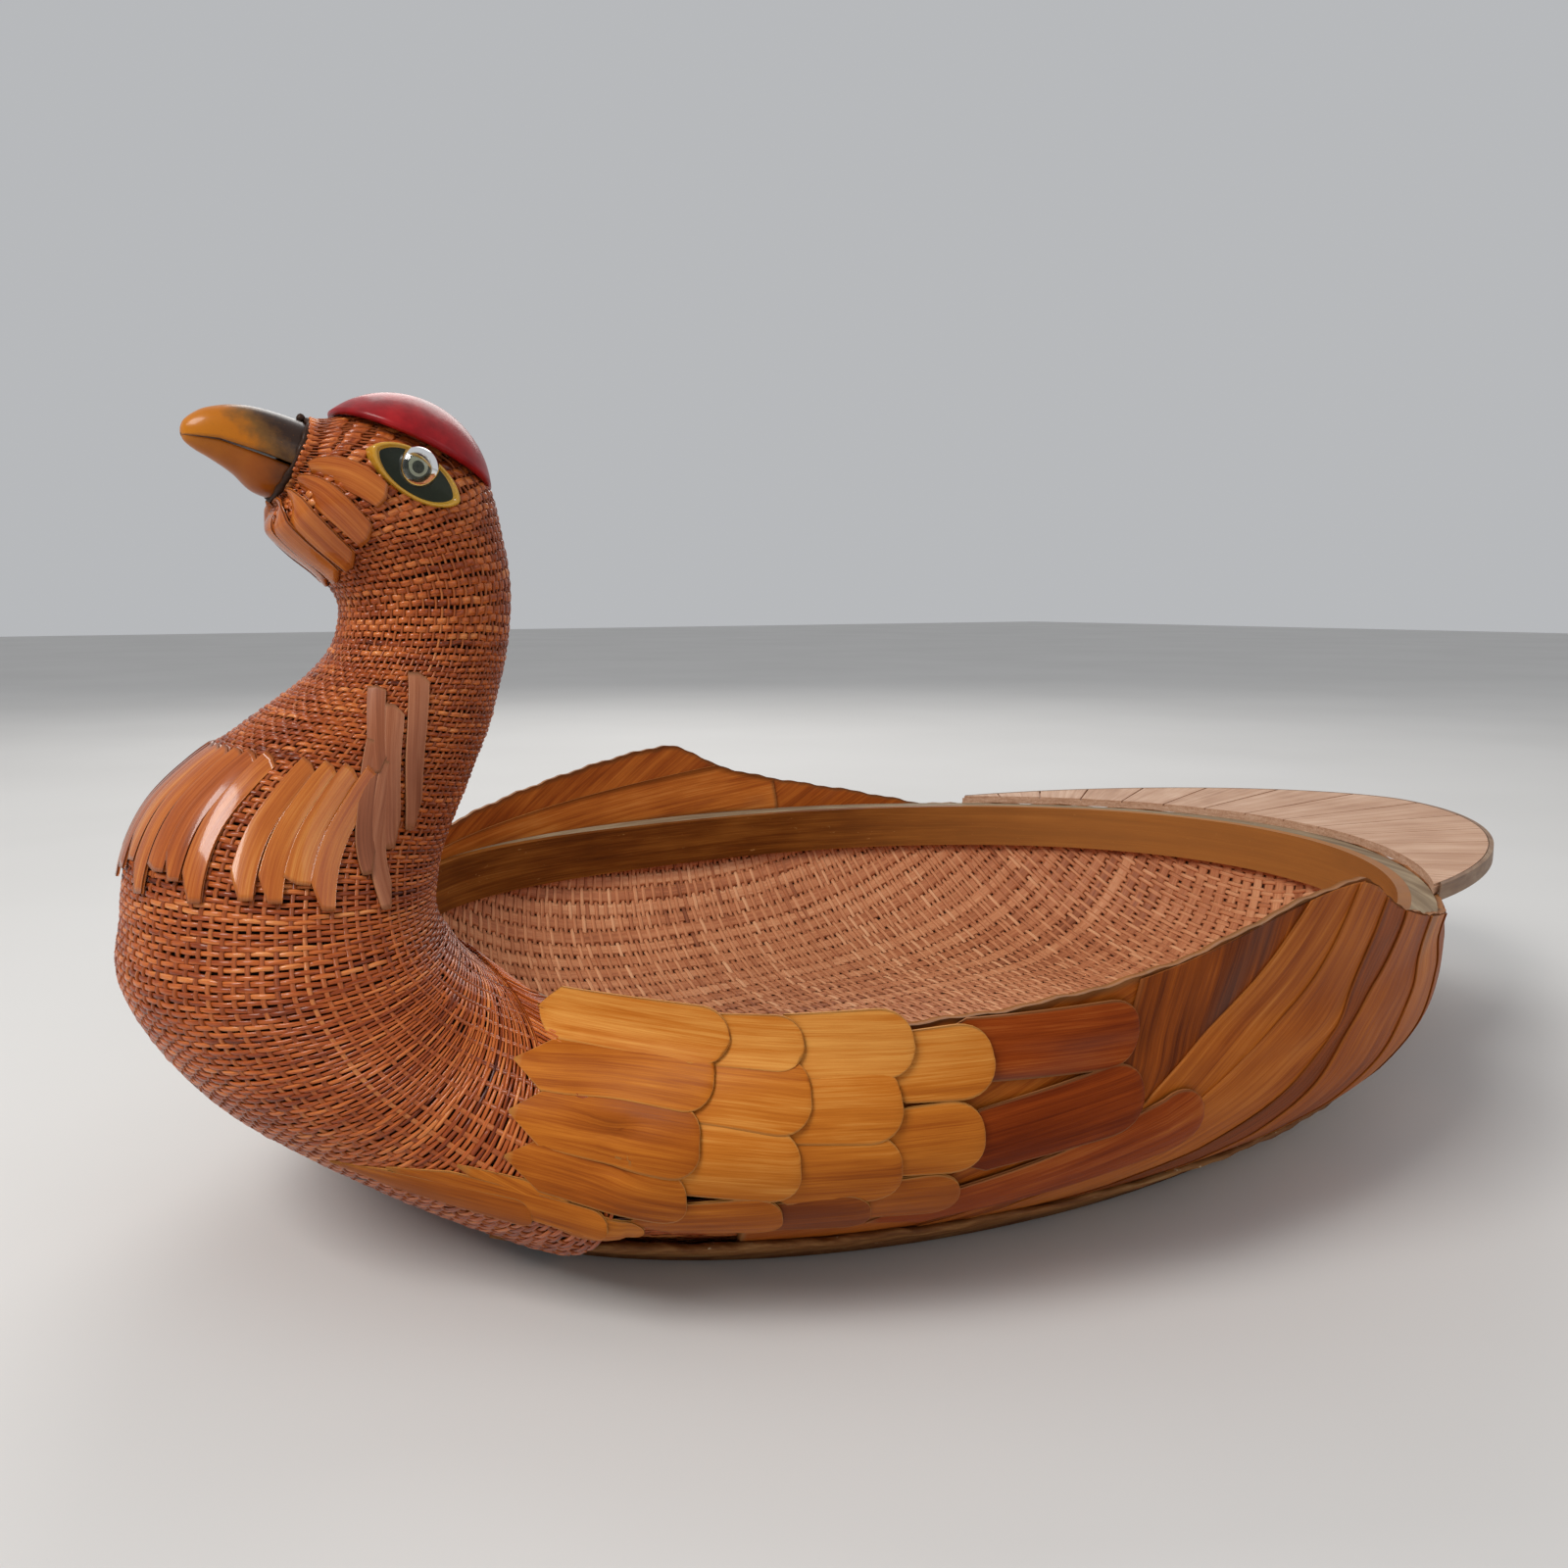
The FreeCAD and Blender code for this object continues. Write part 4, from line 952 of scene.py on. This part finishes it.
FLIGHTS = [(on_hull(-104, 70), on_hull(-56, 72), 17), (on_hull(-100, 47), on_hull(-53, 57), 19),
           (on_hull(-104, 26), on_hull(-34, 49), 20)]
LEAVES = [((-203, -43.5, 36), (-170, -84, 30), 8.5), ((-194, -58, 38), (-158, -98, 30), 8.5),
          ((-182, -72, 41), (-152, -100, 26), 10)]

for side in (LEFT, RIGHT):
    tag = SIDE_NAME[side]
    for number, (tip, end, width) in enumerate(FLIGHTS, start=1):
        sheet = feather_sheet(tip, end, width, side, 1.1, 1.6, rng.uniform(0.35, 0.75), nose=12, crown=0.7)
        sheet_piece(f"flight_{tag}_{number}", [sheet], red_veneer,
                    (f"flight_feather_{tag}_{number}",))
    for number, column in enumerate(COLUMNS, start=1):
        sheets = []
        for row, (tip, end, width) in enumerate(reversed(column)):
            # feathers lower on the side get a darker tint, partly painted shade and partly stain; upper ones are
            # paler
            shade_and_stain_tint = 0.50 + 0.26 * (end[2] - 50) / 22
            sheets.append(feather_sheet(tip, end, width, side, 0.9 + 0.25 * row, 2.5 + 0.3 * row,
                                        np.clip(rng.normal(shade_and_stain_tint, 0.09), 0.0, 1.0)))
        sheet_piece(f"scales_{tag}_{number}", sheets, amber, (f"scale_feathers_{tag}_{number}",))
    leaves = [feather_sheet(tip, end, width, side, 0.8, 1.4, rng.uniform(0.35, 0.6), nose=16)
              for tip, end, width in LEAVES]
    sheet_piece(f"belly_leaves_{tag}_sheets", leaves, amber, (f"belly_leaves_{tag}",))


# --- wing panels and blades

def wing_line(side, x):
    """Height of a wing's top edge."""
    line = smooth_table(WING_TOP[side], np.linspace(0, len(WING_TOP[side]) - 1, 200))
    return np.interp(x, line[:, 0], line[:, 1])


def wall_places(x, foot, top, count):
    """Places on a wall from its foot line to its top line."""
    share = np.linspace(0, 1, count)
    return np.repeat(x[:, None], count, axis=1), foot * (1 - share) + top[:, None] * share


def wing_panel(side):
    """The thin wall that clads a side; its top edge is the wing's outline."""
    x = np.linspace(-138.5, 203.5, 190)
    foot = np.interp(x, [-139, -134, -128, -118, 190, 200, 208], [60, 50, 24, 9, 9, 20, 40])
    top = wing_line(side, x) + 0.25 * np.sin(x * 0.31) + 0.2 * np.sin(x * 0.83 + 1)
    xs, z = wall_places(x, foot[:, None], top, 40)
    grain = np.stack([xs * 0.8 + z * 0.6, z * 0.8 - xs * 0.5], axis=-1)
    sheet = (hull_points(xs, z, side), hull_points(xs, z, side, -1.8), grain, 0.45)
    sheet_piece(f"wing_{SIDE_NAME[side]}", [sheet], veneer, (f"wing_panel_{SIDE_NAME[side]}",))


def inner_sheet(side):
    """A second sheet inside the wing, from the rim up to a line that rises towards the peak."""
    x = np.linspace(-119, 52, 90)
    top = np.minimum(74 + (x + 118) * 0.115, wing_line(side, x) - 0.6)
    xs, z = wall_places(x, 69.0, top, 8)
    grain = np.stack([xs + z * 0.3, z - xs * 0.12], axis=-1)
    sheet = (hull_points(xs, z, side, -2.0), hull_points(xs, z, side, -2.9), grain, 0.72)
    sheet_piece(f"wing_inner_{SIDE_NAME[side]}", [sheet], veneer, edge_weight=0.4)


# edges of the long sheets that sweep up the rear of a wing, from front to rear: (x, z) from foot to top
BLADE_EDGES = [
    [(-66, 12), (-64, 36), (-60, 58), (-58, 74), (-57, 90)],
    [(-84, 10), (-62, 41), (-44, 61), (-24, 79), (-11, 99)],
    [(-72, 10), (-50, 39), (-24, 59), (-2, 75), (6, 100)],
    [(-46, 10), (-22, 31), (0, 51), (16, 68), (21, 95)],
    [(-9, 10), (1, 33), (15, 57), (33, 73), (35, 90)],
    [(22, 10), (34, 31), (48, 52), (60, 67), (58, 82)],
    [(52, 10), (66, 30), (79, 50), (87, 64), (86, 77)],
    [(87, 10), (99, 29), (110, 48), (117, 61), (116, 71)],
    [(124, 10), (134, 29), (144, 46), (149, 59), (150, 70)],
    [(166, 11), (171, 30), (177, 46), (179, 58), (179, 69.8)],
]
BLADE_OVERLAP = 0.14
BLADE_STOCK = 0.5


def blade_sheet(side, front_edge, rear_edge, tint):
    """A long thin sheet between two edge lines; its front edge stands proud of its neighbour."""
    t = np.linspace(0, len(front_edge) - 1, 60)
    v = ACROSS
    first, last = smooth_table(front_edge, t), smooth_table(rear_edge, t)
    wide = last - first
    last = last + wide * BLADE_OVERLAP
    xs = first[:, :1] * (1 - v) + last[:, :1] * v
    zs = first[:, 1:] * (1 - v) + last[:, 1:] * v
    zs = np.clip(zs, 8.5, wing_line(side, xs) - 0.5)
    top = hull_points(xs, zs, side)
    normal = unit(hull_points(xs, zs, side, 1.0) - top + np.array([0, 0, 1e-6]))
    lifted = top + normal * (0.15 + 0.55 * (1 - v))[:, None]
    run = np.concatenate([[0], np.cumsum(np.linalg.norm(np.diff(first, axis=0), axis=1))])
    grain = np.stack(np.broadcast_arrays(run[:, None], np.linalg.norm(wide, axis=1)[:, None] * v), axis=-1)
    return lifted, lifted - normal * BLADE_STOCK, grain, tint


for side in (LEFT, RIGHT):
    wing_panel(side)
    inner_sheet(side)
    blades = [blade_sheet(side, front_edge, rear_edge, np.clip(rng.normal(0.5, 0.2), 0.1, 0.9))
              for front_edge, rear_edge in zip(BLADE_EDGES, BLADE_EDGES[1:])]
    sheet_piece(f"wing_blades_{SIDE_NAME[side]}", blades, veneer, edge_weight=0.25)


# --- slivers on the neck

def neck_place(rows, turns, side, grow):
    """Points of the neck by row and by turn from the front in degrees."""
    x, z, deep, wide, dip, _ = smooth_table(NECK, rows).T
    turn, tilt = np.radians(turns), np.radians(dip)
    reach = -(deep + grow) * np.cos(turn)
    return np.stack([x + reach * np.cos(tilt), side * (wide + grow) * np.sin(turn), z + reach * np.sin(tilt)], axis=1)


SLIVER_ACROSS = np.array([-1, -0.93, -0.5, 0, 0.5, 0.93, 1])
SLIVER_STOCK = 0.7


def sliver_sheet(start, end, widths, side, lift, tint, start_cut=0.0, end_cut=0.0, curl=0.2, crown=0.25, belly=0.0):
    """A thin sliver that follows the neck from one row and turn to another.

    start_cut and end_cut are the shares of its length by which a corner is cut off; the sign picks the corner.
    """
    even = np.linspace(0, 1, 26)
    tops, lows, grains = [], [], []
    for v in SLIVER_ACROSS:
        first = abs(start_cut) * max(0.0, v * math.copysign(1, start_cut))
        last = 1 - abs(end_cut) * max(0.0, v * math.copysign(1, end_cut))
        t = first + (last - first) * even
        rows = start[0] + (end[0] - start[0]) * t
        turns = start[1] + (end[1] - start[1]) * t
        half = (widths[0] + (widths[1] - widths[0]) * t + belly * np.sin(math.pi * t)) / 2
        base = neck_place(rows, turns, side, 0.0)
        out = unit(neck_place(rows, turns, side, 2.0) - base)
        across = unit(np.cross(out, unit(np.gradient(base, axis=0))))
        rise = lift + curl * t ** 2 + crown * (1 - v ** 2)
        top = base + across * (half * v)[:, None] + out * rise[:, None]
        length = np.linalg.norm(np.diff(base, axis=0), axis=1).sum()
        tops.append(top)
        lows.append(top - out * SLIVER_STOCK)
        grains.append(np.stack([t * length, half * v], axis=1))
    return np.stack(tops, axis=1), np.stack(lows, axis=1), np.stack(grains, axis=1), tint


MISSING_SLIP = -6

collar = []
for k in range(-10, 11):
    if k == MISSING_SLIP:
        continue
    reach = 2.7 + 0.25 * math.sin(2.3 * k)
    turn = abs(k) * 8.6 + rng.uniform(-0.4, 0.4)
    collar.append(sliver_sheet((8.62, turn), (8.6 - reach, turn + rng.uniform(-0.5, 0.5)), (4.7, 6.0),
                               LEFT if k < 0 else RIGHT, 1.1, rng.uniform(0.35, 0.8), 0.05,
                               -0.16 if k % 3 else -0.04, curl=0.6))
sheet_piece("collar_slips", collar, glossy, ("breast_collar",))

# row and turn of the start and of the end, width
SLIVERS = [((11.4, 76), (7.4, 116), 3.9), ((10.4, 74), (7.0, 110), 3.8), ((10.9, 58), (8.6, 88), 3.5),
           ((9.4, 78), (6.4, 103), 3.8), ((8.9, 90), (5.6, 112), 3.8)]
for side in (LEFT, RIGHT):
    slips = [sliver_sheet(start, end, (width * 1.3, width * 1.15), side, 1.1, rng.uniform(0.3, 0.7), 0.07, 0.16)
             for start, end, width in SLIVERS]
    sheet_piece(f"neck_slips_{SIDE_NAME[side]}", slips, matt, (f"neck_slivers_{SIDE_NAME[side]}",))

straps = []
for k in range(-4, 5):
    turn = abs(k) * 18.5
    straps.append(sliver_sheet((19.7, turn), (14.6 + 0.13 * k * k, turn * (1 + 0.020 * abs(k))), (3.6, 5.8),
                               LEFT if k < 0 else RIGHT, 1.0, rng.uniform(0.4, 0.75), end_cut=0.06, crown=0.45,
                               belly=2.6))
sheet_piece("throat_slips", straps, glossy, ("throat_straps",))


# --- beak

LIP_REACH = 0.18


def beak_piece(name, upper, material, replaces):
    """One half of the beak, from its base to its tip, cut along the line of the mouth."""
    mouth_x, mouth_z = zip(*reversed(MOUTH))
    rings = []
    for x, z, tall, wide, lean in smooth_table(BEAK, np.linspace(0, len(BEAK) - 1, 60)):
        mouth = np.interp(x, mouth_x, mouth_z)
        edge = math.asin(np.clip((mouth - z) / tall, -0.93, 0.93))
        if upper:
            turn = np.linspace(edge, math.pi - edge, 25)
            lips = np.exp(-((turn - edge) / LIP_REACH) ** 2) + np.exp(-((math.pi - edge - turn) / LIP_REACH) ** 2)
            wider = taller = 1 + 0.05 * lips
        else:
            turn = np.linspace(math.pi - edge + 0.06, 2 * math.pi + edge - 0.06, 25)
            wider, taller = 0.93, 0.97
        y, q = wide * np.cos(turn) * wider, tall * np.sin(turn) * taller
        tilt = math.radians(lean)
        ring = np.stack([x + q * math.sin(tilt), y, z + q * math.cos(tilt)], axis=1)
        back = ring[::-1][1:-1] * np.array([1, 0.6, 1])
        back[:, 2] = mouth + (0.3 if upper else -0.3)
        rings.append(np.concatenate([ring, back[::3]]))
    rings = np.array(rings)
    rings = np.concatenate([0 * rings[:1] + rings[0].mean(axis=0), rings, 0 * rings[:1] + rings[-1].mean(axis=0)])
    ring_piece(name, rings, material, replaces)


beak_piece("beak_top", True, beak_upper_mat, ("beak_upper",))
beak_piece("beak_bottom", False, beak_lower_mat, ("beak_lower",))


def full_turn(count):
    """Cosines and sines of even steps round a circle."""
    turn = np.linspace(0, 2 * math.pi, count, endpoint=False)
    return np.cos(turn), np.sin(turn)


def root_ring():
    """The uneven dark binding round the beak's root."""
    lean = math.radians(26)
    first, second = np.array([0, 1.0, 0]), np.array([math.sin(lean), 0, math.cos(lean)])
    wide, tall = 9.7, 10.7
    turn = np.linspace(0, 2 * math.pi, 64, endpoint=False)
    tube = 0.75 + 0.18 * np.sin(5 * turn + 1) + 0.14 * np.sin(11 * turn) + 0.1 * np.sin(17 * turn + 2)
    c, s = np.cos(turn)[:, None], np.sin(turn)[:, None]
    path = np.array([-193.5, 0, 199.8]) + first * (wide * c) + second * (tall * s)
    out = unit(first * (c / wide) + second * (s / tall))
    around, along = full_turn(10)
    grid = path[:, None] + (out[:, None] * around[:, None] + np.cross(first, second) * along[:, None]) \
        * tube[:, None, None]
    make_piece("beak_root_ring", grid, strip_faces(grid[None], True), base_ring_mat)


root_ring()

# height and radius of the knob on the beak's root
KNOB = [(-1.2, 0.02), (-1.0, 1.1), (0.3, 1.15), (1.0, 0.7), (1.3, 0.02)]
c, s = full_turn(10)
ring_piece("beak_root_knob", np.array([np.stack([-189.9 + r * c, r * s, 209.9 + h + 0 * c], axis=1)
                                       for h, r in KNOB]), base_ring_mat)


# --- cap and eyes

def crest():
    """A cap cut from a ball, with a rolled edge."""
    radius, stock, tilt = 24.6, 1.6, math.radians(25)
    lat = np.radians(np.linspace(27.0, 89.4, 28))
    arc = np.stack([np.cos(lat), np.sin(lat)], axis=1)
    lip = arc[0] * (radius - stock / 2) - (0, stock * 0.45)
    r, h = np.concatenate([arc[::-1] * radius, [lip], arc * (radius - stock)]).T[..., None]
    c, s = full_turn(72)
    x, y = r * c, r * s
    rings = np.stack([-167.4 + x * math.cos(tilt) + h * math.sin(tilt), y,
                      193.2 - x * math.sin(tilt) + h * math.cos(tilt)], axis=2)
    ring_piece("red_cap", rings, cap_mat, ("crest_cap",))


crest()

EYE = (-168.4, 20.1, 197.6)
PLAQUE = (-169.0, 23.3, 195.6)
PLAQUE_HALF, PLAQUE_TALL, PLAQUE_TILT = 12.0, 5.5, math.radians(30.5)
# scale and height of the plaque's rings, from the cheek over the rim, and of the ground inside it
PLAQUE_RIM = [(1.0, -6.5), (1.02, -0.5), (1.0, 0.25), (0.95, 0.45), (0.91, 0.25), (0.89, -0.25), (0.84, -0.45)]
PLAQUE_GROUND = [(0.90, -0.42), (0.6, -0.3), (0.3, -0.2), (0.02, -0.2)]
# radius, squash and distance out of the three domes of an eye
BEAD, IRIS, PUPIL = (5.2, 0.92, 1.9), (4.4, 0.22, 2.3), (2.1, 0.5, 2.9)


def eye(side):
    """An almond plaque with a raised rim, a dark ground, a pupil and a glass bead over it."""
    tag = SIDE_NAME[side]
    long_way = np.array([math.cos(PLAQUE_TILT), 0, -math.sin(PLAQUE_TILT)])
    tall_way = np.array([math.sin(PLAQUE_TILT), 0, math.cos(PLAQUE_TILT)])
    out = np.array([0, side, 0.0])

    def almond(scale, height):
        c, s = full_turn(64)
        u = PLAQUE_HALF * scale * np.sign(c) * np.abs(c) ** 0.92
        w = PLAQUE_TALL * scale * np.sign(s) * np.abs(s) ** 1.35
        return np.array(PLAQUE) * (1, side, 1) + long_way * u[:, None] + tall_way * w[:, None] + out * height

    def dome(radius, squash, far):
        lat = np.radians(np.linspace(8, 89.5, 16))
        r, h = radius * np.cos(lat)[:, None], radius * np.sin(lat)[:, None] * squash
        c, s = full_turn(40)
        base = np.array(EYE) * (1, side, 1) + out * far
        rings = base + (r * c)[..., None] * long_way + (r * s)[..., None] * tall_way + (h + 0 * c)[..., None] * out
        return np.concatenate([base + (r[:1] * c)[..., None] * long_way * 0.02, rings])

    ring_piece(f"eye_rim_{tag}", np.array([almond(*row) for row in PLAQUE_RIM]), eye_rim_mat,
               (f"eye_plaque_{tag}",))
    ring_piece(f"eye_ground_{tag}", np.array([almond(*row) for row in PLAQUE_GROUND]), eye_fill_mat)
    ring_piece(f"eye_bead_{tag}", dome(*BEAD), glass, (f"glass_eye_{tag}",))
    ring_piece(f"eye_iris_{tag}", dome(*IRIS), iris_mat)
    ring_piece(f"eye_pupil_{tag}", dome(*PUPIL), eye_fill_mat)


for side in (LEFT, RIGHT):
    eye(side)


# --- CAD nodes that stay, with their finishes

KEPT = {
    "rim_hoop": hoop_mat, "rim_cover": rim_mat, "base_batten_long": foot_mat,
    "base_batten_front": foot_mat, "base_batten_rear": foot_mat, "tail_fan": tail_mat, "tail_edging": edging_mat,
    "tail_strips": tail_mat, "head_block": wood,
}
for name, material in KEPT.items():
    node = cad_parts[name]
    node.data.materials.clear()
    node.data.materials.append(material)


# --- floor, light and camera

FLOOR_SIZE, FLOOR_LEVEL = 6, -0.0003

floor_mesh = bpy.data.meshes.new("floor")
floor_mesh.from_pydata([(x * FLOOR_SIZE, y * FLOOR_SIZE, FLOOR_LEVEL)
                        for x, y in ((-1, -1), (1, -1), (1, 1), (-1, 1))], [], [(0, 1, 2, 3)])
floor = bpy.data.objects.new("floor", floor_mesh)
bpy.context.scene.collection.objects.link(floor)
floor_nodes = Nodes("pale_floor")
floor_noise = floor_nodes.noise(floor_nodes.add("TexCoord").outputs["Object"], 3.0, detail=3.0, rough=0.5)
floor_mesh.materials.append(floor_nodes.finish({
    "Base Color": floor_nodes.ramp(floor_noise, [(0.3, (0.60, 0.59, 0.575)), (0.7, (0.64, 0.63, 0.615))]),
    "Roughness": 0.75}))

world = bpy.data.worlds.new("studio")
bpy.context.scene.world = world
world.use_nodes = True
world.node_tree.nodes["Background"].inputs["Color"].default_value = (0.95, 0.97, 1.0, 1.0)
world.node_tree.nodes["Background"].inputs["Strength"].default_value = 0.5


def area_light(name, place, target, size, power, colour):
    data = bpy.data.lights.new(name, "AREA")
    data.size = size
    data.energy = power
    data.color = colour
    made = bpy.data.objects.new(name, data)
    made.location = place
    made.rotation_euler = (Vector(target) - Vector(place)).to_track_quat("-Z", "Y").to_euler()
    bpy.context.scene.collection.objects.link(made)


area_light("key", (-1.0, -0.25, 1.05), (-0.1, 0, 0.08), 0.55, 13.0, (1.0, 0.98, 0.95))
area_light("fill", (0.7, -1.3, 0.8), (0, 0, 0.05), 1.2, 4.0, (0.95, 0.97, 1.0))
area_light("back", (0.5, 1.1, 1.1), (0, 0, 0.05), 1.0, 9.0, (1.0, 0.98, 0.95))

camera_data = bpy.data.cameras.new("camera")
camera_data.sensor_width = 36.0
camera_data.lens = 29.925
camera_data.clip_start = 0.01
camera = bpy.data.objects.new("camera", camera_data)
camera.location = (-0.27597, -0.34186, 0.16647)
camera.rotation_euler = (math.radians(90 - 8.198), 0, math.radians(-33.93))
bpy.context.scene.collection.objects.link(camera)
bpy.context.scene.camera = camera
bpy.context.scene.view_settings.view_transform = "Standard"
